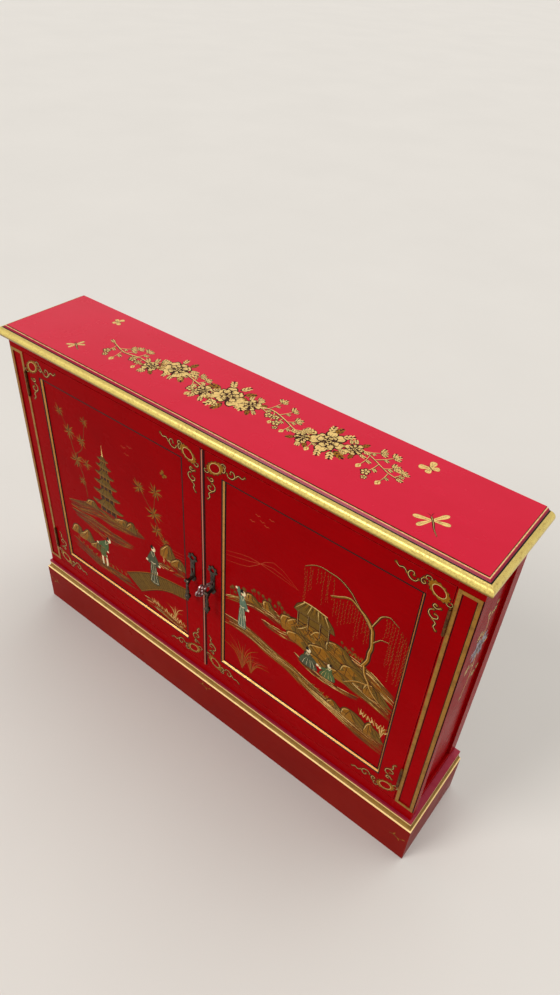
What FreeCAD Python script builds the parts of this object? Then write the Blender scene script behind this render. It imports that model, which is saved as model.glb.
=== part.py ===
import FreeCAD, Part
import math
import os
from types import SimpleNamespace

import Sketcher

# A two-door lacquered cabinet: framed carcass on a plinth, moulded top, panelled doors on butt hinges.
# Millimetres, +Z up, front towards -Y, origin on the floor at the middle of the base.

# Driving dimensions, one sheet cell each.
SIZES = {
    # Overall, over the noses of the top moulding and up to the raised field.
    "overall_width": 1100,
    "overall_depth": 215,
    "overall_height": 794,
    # Top board and its half-round moulding.
    "top_thickness": 24,
    "torus_radius": 9.6,
    "torus_drop": 14.4,
    "field_inset": 17,
    "field_step": 1.6,
    "step_width": 2.2,
    "strip_fall": 3.2,
    "quirk_width": 2,
    "front_overhang": 18,
    "end_overhang": 12,
    # Plinth and the coved base moulding that stands on it.
    "plinth_height": 106.5,
    "plinth_thickness": 22,
    "bearer_width": 20,
    "moulding_width": 10.5,
    "ledge_height": 22.5,
    "lower_fillet": 1.5,
    "cove_width": 5.6,
    "cove_height": 13,
    "cove_radius": 10,
    "upper_fillet": 1.8,
    "groove_depth": 1.2,
    "groove_height": 1.2,
    # Posts and rails of the carcass.
    "post_width": 42.5,
    "post_depth": 34,
    "pilaster_depth": 18,
    "side_step": 7.5,
    "band_margin": 2.2,
    "band_width": 6.4,
    "band_proud": 0.8,
    "sunk_depth": 1.5,
    "bottom_rail_show": 26.5,
    "top_rail_height": 22.5,
    "top_rail_depth": 45,
    "side_top_rail_height": 40,
    "side_bottom_rail_height": 43.5,
    "rear_rail_thickness": 20,
    "panel_recess": 6,
    "side_panel_thickness": 8,
    "panel_tongue": 6,
    "panel_clearance": 0.5,
    "tenon_length": 14,
    "tenon_thickness": 8,
    "tenon_shoulder": 5,
    "side_tenon_wall": 3,
    "tenon_clearance": 0.5,
    "cut_margin": 1,
    # Boards inside the carcass.
    "board_thickness": 18,
    "stop_height": 6,
    "back_thickness": 5,
    "back_rebate": 12,
    "shelf_thickness": 15,
    "shelf_level": 448,
    "shelf_setback": 24.5,
    "shelf_clearance": 1,
    "shelf_bearer_size": 16,
    "shelf_bearer_setback": 3,
    # Doors.
    "door_thickness": 20,
    "door_gap": 1.5,
    "meeting_gap": 1.2,
    "hinge_gap": 1.2,
    "stop_gap": 0.5,
    "hinge_stile": 42,
    "meeting_stile": 48.4,
    "door_top_rail": 43.4,
    "door_bottom_rail": 45.5,
    "door_tenon_length": 25,
    "door_haunch": 10,
    "panel_depth": 5,
    "door_panel_thickness": 8,
    "bead_width": 4.6,
    "bead_height": 4.8,
    "bead_land": 0.7,
    "bead_foot": 0.8,
    "astragal_width": 6,
    # Butt hinges.
    "hinge_height": 56,
    "hinge_from_top": 44.5,
    "hinge_from_bottom": 52.5,
    "barrel_radius": 2.6,
    "barrel_stand": 0.2,
    "leaf_depth": 16,
    "leaf_thickness": 1.6,
    "leaf_gap": 0.2,
    "knuckle_gap": 0.3,
    "pin_radius": 1.2,
    "pin_clearance": 0.05,
    "finial_base": 1.7,
    "finial_radius": 2.3,
    "finial_belly": 1.5,
    "finial_height": 5,
    # Drop pulls.
    "pull_offset": 27,
    "pull_level": 467.5,
    "plate_thickness": 2.5,
    "ring_radius": 9.6,
    "ring_hole": 5.2,
    "lobe_radius": 2.8,
    "lobe_count": 7,
    "neck_width": 11,
    "boss_radius": 8,
    "boss_drop": 53.5,
    "tail_radius": 4.2,
    "tail_drop": 61,
    "stud_radius": 3.6,
    "pull_stand": 18,
    "knuckle_radius": 4.2,
    "knuckle_width": 10,
    "slot_width": 4.8,
    "slot_clearance": 1,
    "pull_pin_radius": 1.4,
    "eye_radius": 3.9,
    "eye_width": 4.2,
    "stem_radius": 2,
    "collar_radius": 3.6,
    "collar_drop": 9,
    "collar_height": 4,
    "vase_radius": 4,
    "vase_drop": 31,
    "ball_radius": 6.5,
    "ball_drop": 43,
    "tip_drop": 60,
    # Lock, key and the bolt of the left door.
    "key_drop": 30.5,
    "key_radius": 2.6,
    "key_clearance": 0.3,
    "key_end_gap": 0.5,
    "key_slot_width": 3.2,
    "key_slot_drop": 11,
    "bow_reach": 34.5,
    "bow_offset": 8.5,
    "bow_lobe": 7,
    "bow_hole": 4,
    "bow_eye": 3.4,
    "bow_thickness": 3,
    "bow_lobes": 4,
    "key_collar_radius": 4,
    "key_collar_reach": 12,
    "key_collar_width": 3,
    "bit_gap": 2,
    "bit_width": 6,
    "bit_drop": 10,
    "bit_thickness": 2.4,
    "lock_edge": 6,
    "lock_width": 40,
    "lock_height": 60,
    "lock_depth": 12,
    "lock_wall": 1.2,
    "lock_bolt_rise": 12,
    "lock_bolt_length": 29.5,
    "lock_bolt_height": 8,
    "lock_bolt_thickness": 5,
    "lock_bolt_stand": 3,
    "lock_bolt_show": 1.5,
    "bolt_clearance": 0.3,
    "keep_edge": 3,
    "keep_width": 13,
    "keep_height": 16,
    "keep_wall": 2,
    "rod_offset": 24,
    "rod_radius": 3,
    "rod_length": 83,
    "rod_stand": 6,
    "rod_drop": 1,
    "rod_hole_depth": 17,
    "rod_hole_clearance": 0.5,
    "rod_knob_drop": 45,
    "rod_knob_length": 9,
    "bolt_plate_width": 20,
    "bolt_plate_height": 80,
    "bolt_plate_drop": 6,
    "bolt_plate_thickness": 2,
    "staple_width": 14,
    "staple_height": 8,
    "staple_inset": 10,
    "staple_depth": 10,
}

SIDES = (("left", -1), ("right", 1))
KNUCKLES = 3
# A ball is cut for its neck where a 3-4-5 triangle in it has its corner.
SEAT_WIDTH = 0.6
SEAT_DROP = 0.8
UP = FreeCAD.Vector(0, 0, 1)
ACROSS = FreeCAD.Vector(1, 0, 0)
INWARD = FreeCAD.Vector(0, 1, 0)

doc = FreeCAD.newDocument("ConsoleCabinet")
sheet = doc.addObject("Spreadsheet::Sheet", "Sheet")
for row, (alias, number) in enumerate(SIZES.items(), 1):
    sheet.set(f"A{row}", alias)
    sheet.set(f"B{row}", str(number))
    sheet.setAlias(f"B{row}", alias)
doc.recompute()


class Size:
    """A length that carries both its formula in the sheet's terms and its present value."""

    def __init__(self, text, value):
        self.text = text
        self.value = value

    @staticmethod
    def of(number):
        if isinstance(number, Size):
            return number
        return Size(f"({number})", float(number))

    def __add__(self, other):
        other = Size.of(other)
        return Size(f"({self.text} + {other.text})", self.value + other.value)

    def __sub__(self, other):
        other = Size.of(other)
        return Size(f"({self.text} - {other.text})", self.value - other.value)

    def __mul__(self, other):
        other = Size.of(other)
        return Size(f"({self.text} * {other.text})", self.value * other.value)

    def __truediv__(self, other):
        other = Size.of(other)
        return Size(f"({self.text} / {other.text})", self.value / other.value)

    def __neg__(self):
        return Size(f"(0 - {self.text})", -self.value)


s = SimpleNamespace(**{alias: Size(f"Sheet.{alias}", float(sheet.get(alias))) for alias in SIZES})

# Planes and levels that several pieces share.
nose_end = s.overall_width / 2
nose_front = -s.overall_depth / 2
back = s.overall_depth / 2
top_under = s.overall_height - s.top_thickness
front = nose_front + s.front_overhang
half = nose_end - s.end_overhang
post_inner = half - s.post_width
side_half = half - s.side_step
pilaster_rear = front + s.pilaster_depth
post_rear = front + s.post_depth
rear_post_front = back - s.post_depth
back_front = back - s.back_thickness
plinth_front_y = front - s.moulding_width
plinth_end = half + s.moulding_width
ledge = s.plinth_height + s.ledge_height
rail_top = ledge + s.bottom_rail_show
rail_under = top_under - s.top_rail_height
door_bottom = rail_top + s.door_gap
door_top = rail_under - s.door_gap
door_back = front + s.door_thickness
stop = door_back + s.stop_gap
door_meeting = s.meeting_gap / 2
door_outer = post_inner - s.hinge_gap
panel_front = front + s.panel_depth
panel_back = panel_front + s.door_panel_thickness
opening_near = door_meeting + s.meeting_stile
opening_far = door_outer - s.hinge_stile
opening_bottom = door_bottom + s.door_bottom_rail
opening_top = door_top - s.door_top_rail
side_outer = side_half - s.panel_recess
side_inner = side_outer - s.side_panel_thickness
side_rail_top = s.plinth_height + s.side_bottom_rail_height
side_rail_under = top_under - s.side_top_rail_height
board_top = door_bottom + s.stop_height
board_under = board_top - s.board_thickness
hinge_x = post_inner - s.hinge_gap / 2
hinge_y = front - s.barrel_radius - s.barrel_stand
hinge_levels = (
    door_bottom + s.hinge_from_bottom,
    door_top - s.hinge_from_top - s.hinge_height,
)
key_level = s.pull_level - s.key_drop

nodes = []


def keep(piece, name):
    """Name a finished sub-part and put it on the list to be written."""
    piece.Label = name
    nodes.append(piece)
    return piece


def bind(item, path, size):
    item.setExpression(path, Size.of(size).text)


def place(item, x, y, z, rotation=None):
    """Set a piece down at (x, y, z), turned first if a rotation is given."""
    if rotation is not None:
        item.Placement.Rotation = rotation
    for axis, size in zip("xyz", (x, y, z)):
        bind(item, "Placement.Base." + axis, size)


def block(name, x, y, z):
    """A squared piece between a low and a high plane in each of x, y and z."""
    piece = doc.addObject("Part::Box", name)
    for prop, axis, (low, high) in zip(("Length", "Width", "Height"), "xyz", (x, y, z)):
        bind(piece, prop, Size.of(high) - low)
        bind(piece, "Placement.Base." + axis, low)
    return piece


def rod(name, radius, length, at, rotation=None):
    """A round bar from the point at, along +Z unless turned."""
    piece = doc.addObject("Part::Cylinder", name)
    bind(piece, "Radius", radius)
    bind(piece, "Height", length)
    place(piece, *at, rotation)
    return piece


def fuse(name, pieces):
    joined = doc.addObject("Part::MultiFuse", name)
    joined.Shapes = pieces
    return joined


def cut(name, base, tools):
    """Take one or more tools away from a piece."""
    result = doc.addObject("Part::Cut", name)
    result.Base = base
    result.Tool = tools[0] if len(tools) == 1 else fuse(name + "_tools", tools)
    return result


def group(name, pieces):
    """Several loose solids that are kept as one sub-part."""
    together = doc.addObject("Part::Compound", name)
    together.Links = pieces
    return together


def span(side, low, high):
    """A range measured outward from the middle, on the left (-1) or the right (1)."""
    return (Size.of(low), Size.of(high)) if side > 0 else (-Size.of(high), -Size.of(low))


def new_body(name):
    return doc.addObject("PartDesign::Body", name)


def sketch_on(body, role, name, offset=None):
    """A sketch on one of the body's own origin planes, with its origin moved by offset in the plane."""
    plane = next(item for item in body.Origin.OriginFeatures if item.Role == role)
    sketch = body.newObject("Sketcher::SketchObject", name)
    sketch.AttachmentSupport = [(plane, "")]
    sketch.MapMode = "FlatFace"
    if offset is not None:
        for axis, size in zip("xyz", offset):
            bind(sketch, "AttachmentOffset.Base." + axis, size)
    return sketch


def fix_point(sketch, geometry, end, across, up):
    """Hold one end of a sketch line or arc at a distance from the sketch's origin."""
    for kind, size in (("DistanceX", across), ("DistanceY", up)):
        size = Size.of(size)
        held = sketch.addConstraint(Sketcher.Constraint(kind, -1, 1, geometry, end, size.value))
        bind(sketch, f"Constraints[{held}]", size)


def arc_between(start, finish, radius, side):
    """The short arc of a radius from start to finish that bulges left (1) or right (-1) of the way."""
    chord = finish - start
    left = FreeCAD.Vector(-chord.y, chord.x, 0)
    left.normalize()
    rise = math.sqrt(max(radius**2 - (chord.Length / 2) ** 2, 0))
    centre = (start + finish) / 2 - left * rise * side
    first, last = (finish, start) if side > 0 else (start, finish)
    angles = [math.atan2(point.y - centre.y, point.x - centre.x) for point in (first, last)]
    return Part.ArcOfCircle(Part.Circle(centre, UP, radius), *angles)


def outline(sketch, corners):
    """A closed outline. A corner is (across, up), or (across, up, radius, side) where an arc starts."""
    points = [FreeCAD.Vector(Size.of(c[0]).value, Size.of(c[1]).value, 0) for c in corners]
    ends = []
    for index, corner in enumerate(corners):
        start, finish = points[index], points[(index + 1) % len(points)]
        if len(corner) == 2:
            edge = sketch.addGeometry(Part.LineSegment(start, finish))
            ends.append((edge, 1, 2))
            continue
        radius, side = Size.of(corner[2]), corner[3]
        edge = sketch.addGeometry(arc_between(start, finish, radius.value, side))
        ends.append((edge, 2, 1) if side > 0 else (edge, 1, 2))
        held = sketch.addConstraint(Sketcher.Constraint("Radius", edge, radius.value))
        bind(sketch, f"Constraints[{held}]", radius)
    for index, (edge, first, _) in enumerate(ends):
        before, _, last = ends[index - 1]
        sketch.addConstraint(Sketcher.Constraint("Coincident", before, last, edge, first))
        fix_point(sketch, edge, first, *corners[index][:2])


def circle(sketch, across, up, radius):
    radius = Size.of(radius)
    centre = FreeCAD.Vector(Size.of(across).value, Size.of(up).value, 0)
    edge = sketch.addGeometry(Part.Circle(centre, UP, radius.value))
    held = sketch.addConstraint(Sketcher.Constraint("Radius", edge, radius.value))
    bind(sketch, f"Constraints[{held}]", radius)
    fix_point(sketch, edge, 3, across, up)


def rectangle(sketch, across, up):
    (left, right), (low, high) = across, up
    outline(sketch, [(left, low), (right, low), (right, high), (left, high)])


def pad(body, sketch, length, middle=False):
    """Raise a profile, along the sketch's normal or to both sides of it."""
    feature = body.newObject("PartDesign::Pad", sketch.Name + "_pad")
    feature.Profile = sketch
    feature.SideType = "Symmetric" if middle else "One side"
    bind(feature, "Length", length)
    return feature


def pocket(body, sketch, length=None):
    """Cut a profile to both sides of its sketch, right through unless a length is given."""
    feature = body.newObject("PartDesign::Pocket", sketch.Name + "_pocket")
    feature.Profile = sketch
    feature.SideType = "Symmetric"
    if length is None:
        feature.Type = "ThroughAll"
    else:
        bind(feature, "Length", length)
    return feature


def ring_of(body, feature, sketch, count):
    """Repeat a feature evenly round its sketch's own normal."""
    pattern = body.newObject("PartDesign::PolarPattern", feature.Name + "_ring")
    pattern.Originals = [feature]
    pattern.Axis = (sketch, ["N_Axis"])
    pattern.Angle = 360
    bind(pattern, "Occurrences", count)
    body.Tip = pattern
    return pattern


def turned(body, sketch):
    """Revolve a half profile about the sketch's upright axis."""
    feature = body.newObject("PartDesign::Revolution", sketch.Name + "_turned")
    feature.Profile = sketch
    feature.ReferenceAxis = (sketch, ["V_Axis"])
    feature.Angle = 360
    return feature


def moulding(name, profile, length, width, ends):
    """A run of moulding along local X, outer edge on y = 0, mitred inward at the ends listed (-1, 1)."""
    body = new_body(name)
    section = sketch_on(body, "YZ_Plane", name + "_section")
    outline(section, profile)
    pad(body, section, length, middle=True)
    for end in ends:
        mitre = sketch_on(body, "XY_Plane", f"{name}_mitre_{'low' if end < 0 else 'high'}")
        tip = (length / 2 + s.cut_margin) * end
        inner = (length / 2 - width - s.cut_margin) * end
        outline(mitre, [
            (tip, -s.cut_margin),
            (tip, width + s.cut_margin),
            (inner, width + s.cut_margin),
        ])
        pocket(body, mitre)
    return body


def three_sides(name, profile, width, end_x, front_y, level):
    """The same moulding along the front and both ends, mitred at the front corners, square at the back."""
    depth = back - front_y
    middle = (back + front_y) / 2
    runs = (
        ("front", end_x * 2, (-1, 1), (0, front_y), 0),
        ("left", depth, (1,), (-end_x, middle), -90),
        ("right", depth, (-1,), (end_x, middle), 90),
    )
    made = {}
    for side, length, ends, (x, y), angle in runs:
        made[side] = moulding(f"{name}_{side}_run", profile, length, width, ends)
        place(made[side], x, y, level, FreeCAD.Rotation(UP, angle))
    return made


def build_top():
    """The top board: a slab, a sloping strip set in by the quirk, and the raised field."""
    body = new_body("top_board")
    slab = s.top_thickness - s.field_step - s.strip_fall

    def plan(name, inset, level):
        sketch = sketch_on(body, "XY_Plane", name, (0, 0, level))
        rectangle(sketch, (inset - nose_end, nose_end - inset), (nose_front + inset, back))
        return sketch

    pad(body, plan("top_slab", s.torus_radius, 0), slab)
    strip = body.newObject("PartDesign::AdditiveLoft", "top_strip")
    strip.Profile = plan("strip_foot", s.torus_radius + s.quirk_width, slab)
    strip.Sections = [plan("strip_head", s.field_inset - s.step_width, slab + s.strip_fall)]
    strip.Ruled = True
    pad(body, plan("top_field", s.field_inset, slab + s.strip_fall), s.field_step)
    place(body, 0, 0, top_under)
    keep(body, "top_board")

    radius = s.torus_radius
    half_round = [
        (radius, 0, radius, 1),
        (0, radius, radius, 1),
        (radius, radius * 2),
    ]
    level = s.overall_height - s.torus_drop - radius
    for side, run in three_sides("top_moulding", half_round, radius, nose_end, nose_front, level).items():
        keep(run, f"top_moulding_{side}")


def build_base():
    """Plinth boards, the bearer across their middle, and the coved moulding on their top edge."""
    board = [
        (0, 0),
        (s.plinth_thickness, 0),
        (s.plinth_thickness, s.plinth_height),
        (0, s.plinth_height),
    ]
    for side, run in three_sides("plinth", board, s.plinth_thickness, plinth_end, plinth_front_y, 0).items():
        keep(run, f"plinth_{side}")
    inside = plinth_end - s.plinth_thickness
    behind = back - s.plinth_thickness
    keep(block("plinth_back", (-inside, inside), (behind, back), (0, s.plinth_height)), "plinth_back")
    across = (-s.bearer_width / 2, s.bearer_width / 2)
    bearer = block("bearer_blank", across, (plinth_front_y + s.plinth_thickness, behind), (0, board_under))
    notch = block("bearer_notch", across, (plinth_front_y, stop), (s.plinth_height, board_under))
    keep(cut("plinth_bearer", bearer, [notch]), "plinth_bearer")

    cove_top = s.lower_fillet + s.cove_height
    groove = cove_top + s.upper_fillet
    section = [
        (0, 0),
        (s.moulding_width, 0),
        (s.moulding_width, s.ledge_height),
        (s.cove_width, s.ledge_height),
        (s.cove_width, groove + s.groove_height),
        (s.cove_width + s.groove_depth, groove + s.groove_height),
        (s.cove_width + s.groove_depth, groove),
        (s.cove_width, groove),
        (s.cove_width, cove_top, s.cove_radius, 1),
        (0, s.lower_fillet),
    ]
    runs = three_sides("base_moulding", section, s.moulding_width, plinth_end, plinth_front_y, s.plinth_height)
    keep(runs["front"], "base_moulding_front")
    for label, side in SIDES:
        name = f"base_moulding_{label}"
        strip_z = (s.plinth_height, ledge)
        strip = block(name + "_strip", span(side, side_half, half), (pilaster_rear, back), strip_z)
        keep(fuse(name, [runs[label], strip]), name)


# Tenons of the carcass rails: each range is shared by the rail and the mortise that takes it.
front_tenon_y = (front + s.tenon_thickness, front + s.tenon_thickness * 2)
rear_tenon_y = (back_front - s.tenon_thickness * 2, back_front - s.tenon_thickness)
side_tenon_x = (side_inner + s.side_tenon_wall, side_half - s.side_tenon_wall)
top_tenon_z = (rail_under + s.tenon_shoulder, top_under - s.tenon_shoulder)
bottom_tenon_z = (s.plinth_height + s.tenon_shoulder, rail_top - s.tenon_shoulder)
panel_shoulder = s.panel_tongue + s.cut_margin
side_top_tenon_z = (side_rail_under + panel_shoulder, top_under - s.tenon_shoulder)
side_bottom_tenon_z = (s.plinth_height + s.tenon_shoulder, side_rail_top - panel_shoulder)


def cross_rail(name, y, z, tenon_y, tenon_z):
    """A rail between two posts, with a tenon at each end."""
    reach = post_inner + s.tenon_length
    body = block(name + "_body", (-post_inner, post_inner), y, z)
    tenons = block(name + "_tenons", (-reach, reach), tenon_y, tenon_z)
    return fuse(name, [body, tenons])


def cross_mortise(name, side, tenon_y, tenon_z):
    deep = post_inner + s.tenon_length + s.tenon_clearance
    return block(name, span(side, post_inner, deep), tenon_y, tenon_z)


def build_cross_rails():
    head_y = (front, front + s.top_rail_depth)
    head = cross_rail("top_rail_plain", head_y, (rail_under, top_under), front_tenon_y, top_tenon_z)
    hole = rod(
        "rod_hole",
        s.rod_radius + s.rod_hole_clearance,
        s.rod_hole_depth,
        (-s.rod_offset, door_back + s.rod_stand, rail_under),
    )
    keep(cut("front_top_rail", head, [hole]), "front_top_rail")
    foot = cross_rail(
        "front_bottom_rail", (front, stop), (s.plinth_height, rail_top), front_tenon_y, bottom_tenon_z
    )
    keep(foot, "front_bottom_rail")
    rear = cross_rail(
        "rear_top_rail",
        (back_front - s.rear_rail_thickness, back_front),
        (side_rail_under, top_under),
        rear_tenon_y,
        side_top_tenon_z,
    )
    keep(rear, "rear_top_rail")


def side_mortises(name, side, face, inward):
    """Mortises for the end rails and the groove for the end panel, cut into a post's inner face."""
    deep = (s.tenon_length + s.tenon_clearance) * inward
    groove = s.panel_tongue * inward
    depth = sorted((face, face + deep), key=lambda size: size.value)
    slot = sorted((face, face + groove), key=lambda size: size.value)
    return [
        block(name + "_top_mortise", span(side, *side_tenon_x), depth, side_top_tenon_z),
        block(name + "_bottom_mortise", span(side, *side_tenon_x), depth, side_bottom_tenon_z),
        block(
            name + "_groove",
            span(side, side_inner, side_outer),
            slot,
            (side_rail_top - s.panel_tongue, side_rail_under + s.panel_tongue),
        ),
    ]


def build_posts():
    """Front posts stepped in behind their faces, the gilt bands on them, and the rear posts."""
    bands = []
    tall = (s.plinth_height, top_under)
    leaf_sink = s.leaf_gap / 2 + s.leaf_thickness - s.hinge_gap / 2
    for label, side in SIDES:
        name = f"front_post_{label}"
        blank = block(name + "_blank", span(side, post_inner, half), (front, post_rear), tall)
        border = s.band_margin + s.band_width
        sunk = block(
            name + "_sunk_panel",
            span(side, post_inner + border, half - border),
            (front, front + s.sunk_depth),
            (door_bottom + s.band_width, door_top - s.band_width),
        )
        step = block(name + "_step", span(side, side_half, half), (pilaster_rear, post_rear), tall)
        tools = [sunk, step] + side_mortises(name, side, post_rear, -1)
        tools.append(cross_mortise(name + "_head_mortise", side, front_tenon_y, top_tenon_z))
        tools.append(cross_mortise(name + "_foot_mortise", side, front_tenon_y, bottom_tenon_z))
        for number, level in enumerate(hinge_levels, 1):
            tools.append(block(
                f"{name}_hinge_mortise_{number}",
                span(side, post_inner, post_inner + leaf_sink),
                (front, front + s.leaf_depth),
                (level, level + s.hinge_height),
            ))
        keep(cut(name, blank, tools), name)

        outer = block(
            f"band_{label}_outer",
            span(side, post_inner + s.band_margin, half - s.band_margin),
            (front - s.band_proud, front),
            (door_bottom, door_top),
        )
        inner = block(
            f"band_{label}_inner",
            span(side, post_inner + border, half - border),
            (front - s.band_proud, front),
            (door_bottom + s.band_width, door_top - s.band_width),
        )
        bands.append(cut(f"band_{label}", outer, [inner]))

        name = f"rear_post_{label}"
        blank = block(name + "_blank", span(side, post_inner, side_half), (rear_post_front, back), tall)
        tools = side_mortises(name, side, rear_post_front, 1)
        tools.append(cross_mortise(name + "_head_mortise", side, rear_tenon_y, side_top_tenon_z))
        tools.append(block(
            name + "_rebate",
            span(side, post_inner, post_inner + s.back_rebate),
            (back_front, back),
            tall,
        ))
        keep(cut(name, blank, tools), name)
    keep(group("post_bands", bands), "post_bands")


def build_ends():
    """Framed ends: a rail at the top and the bottom, with a panel set back between the posts."""
    between = (post_rear, rear_post_front)
    long_y = (post_rear - s.tenon_length, rear_post_front + s.tenon_length)
    tongue = s.panel_tongue - s.panel_clearance
    for label, side in SIDES:
        rails = (
            ("side_top_rail", (side_rail_under, top_under), side_top_tenon_z,
             (side_rail_under, side_rail_under + s.panel_tongue)),
            ("side_bottom_rail", (s.plinth_height, side_rail_top), side_bottom_tenon_z,
             (side_rail_top - s.panel_tongue, side_rail_top)),
        )
        for kind, z, tenon_z, rebate_z in rails:
            name = f"{kind}_{label}"
            body = block(name + "_body", span(side, side_inner, side_half), between, z)
            tenons = block(name + "_tenons", span(side, *side_tenon_x), long_y, tenon_z)
            rebate = block(name + "_rebate", span(side, side_inner, side_outer), between, rebate_z)
            keep(cut(name, fuse(name + "_whole", [body, tenons]), [rebate]), name)
        panel = block(
            f"side_panel_{label}",
            span(side, side_inner, side_outer),
            (post_rear - tongue, rear_post_front + tongue),
            (side_rail_top - tongue, side_rail_under + tongue),
        )
        keep(panel, f"side_panel_{label}")


def build_boards():
    """Bottom board notched round the posts, back panel, and a shelf on two bearers."""
    board = block("board_blank", (-side_inner, side_inner), (stop, back_front), (board_under, board_top))
    notches = []
    for label, side in SIDES:
        for end, y in (("front", (stop, post_rear)), ("rear", (rear_post_front, back_front))):
            corner = span(side, post_inner, side_inner)
            notches.append(block(f"board_notch_{end}_{label}", corner, y, (board_under, board_top)))
    keep(cut("bottom_board", board, notches), "bottom_board")

    edge = post_inner + s.back_rebate - s.panel_clearance
    back_z = (s.plinth_height + s.panel_clearance, top_under - s.panel_clearance)
    keep(block("back_panel", (-edge, edge), (back_front, back), back_z), "back_panel")

    reach = post_inner - s.shelf_clearance
    shelf_y = (door_back + s.shelf_setback, back_front - s.shelf_clearance)
    shelf_z = (s.shelf_level, s.shelf_level + s.shelf_thickness)
    keep(block("shelf", (-reach, reach), shelf_y, shelf_z), "shelf")
    bearers = []
    for label, side in SIDES:
        bearers.append(block(
            f"shelf_bearer_{label}",
            span(side, post_inner - s.shelf_bearer_size, post_inner),
            (stop + s.shelf_bearer_setback, back_front - s.shelf_clearance),
            (s.shelf_level - s.shelf_bearer_size, s.shelf_level),
        ))
    keep(group("shelf_bearers", bearers), "shelf_bearers")


def hinge_leaf(name, hand, gaps):
    """One leaf of a butt hinge on its own axis; gaps are the knuckle places that the other leaf fills."""
    body = new_body(name)
    pitch = s.hinge_height / KNUCKLES
    face = s.barrel_radius + s.barrel_stand
    barrel = sketch_on(body, "XY_Plane", name + "_barrel")
    circle(barrel, 0, 0, s.barrel_radius)
    pad(body, barrel, s.hinge_height)
    plate = sketch_on(body, "XY_Plane", name + "_plate")
    near = s.leaf_gap / 2
    rectangle(plate, span(hand, near, near + s.leaf_thickness), (0, face + s.leaf_depth))
    pad(body, plate, s.hinge_height)
    bore = sketch_on(body, "XY_Plane", name + "_bore")
    circle(bore, 0, 0, s.pin_radius + s.pin_clearance)
    pocket(body, bore)
    for place_number in gaps:
        gap = sketch_on(body, "YZ_Plane", f"{name}_gap_{place_number}")
        low = pitch * place_number - s.knuckle_gap / 2
        high = pitch * (place_number + 1) + s.knuckle_gap / 2
        rectangle(gap, (-s.barrel_radius - s.cut_margin, face), (low, high))
        pocket(body, gap)
    return body


def hinge_pin(name):
    """A turned pin that runs the length of the barrel, with an acorn finial at each end."""
    body = new_body(name)
    profile = sketch_on(body, "XZ_Plane", name + "_profile")
    tall = s.hinge_height
    outline(profile, [
        (0, -s.finial_height),
        (s.finial_radius, -s.finial_belly),
        (s.finial_base, 0),
        (s.pin_radius, 0),
        (s.pin_radius, tall),
        (s.finial_base, tall),
        (s.finial_radius, tall + s.finial_belly),
        (0, tall + s.finial_height),
    ])
    turned(body, profile)
    return body


def build_hinges():
    post_leaves, pins = [], []
    for label, side in SIDES:
        door_leaves = []
        for number, level in enumerate(hinge_levels, 1):
            pieces = (
                (hinge_leaf(f"post_leaf_{label}_{number}", side, (1,)), post_leaves),
                (hinge_leaf(f"door_leaf_{label}_{number}", -side, (0, 2)), door_leaves),
                (hinge_pin(f"hinge_pin_{label}_{number}"), pins),
            )
            for piece, heap in pieces:
                place(piece, hinge_x * side, hinge_y, level)
                heap.append(piece)
        keep(group(f"{label}_hinge_leaves", door_leaves), f"{label}_hinge_leaves")
    keep(group("hinge_post_leaves", post_leaves), "hinge_post_leaves")
    keep(group("hinge_pins", pins), "hinge_pins")


def keyhole(name, x, y):
    """A keyhole right through a piece: a round hole for the stem with a slot for the bit below it."""
    radius = s.key_radius + s.key_clearance
    low, high = y
    stem = rod(name + "_stem", radius, high - low, (x, low, key_level), FreeCAD.Rotation(ACROSS, -90))
    slot_x = (x - s.key_slot_width / 2, x + s.key_slot_width / 2)
    slot = block(name + "_slot", slot_x, y, (key_level - s.key_slot_drop, key_level))
    return [stem, slot]


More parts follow.
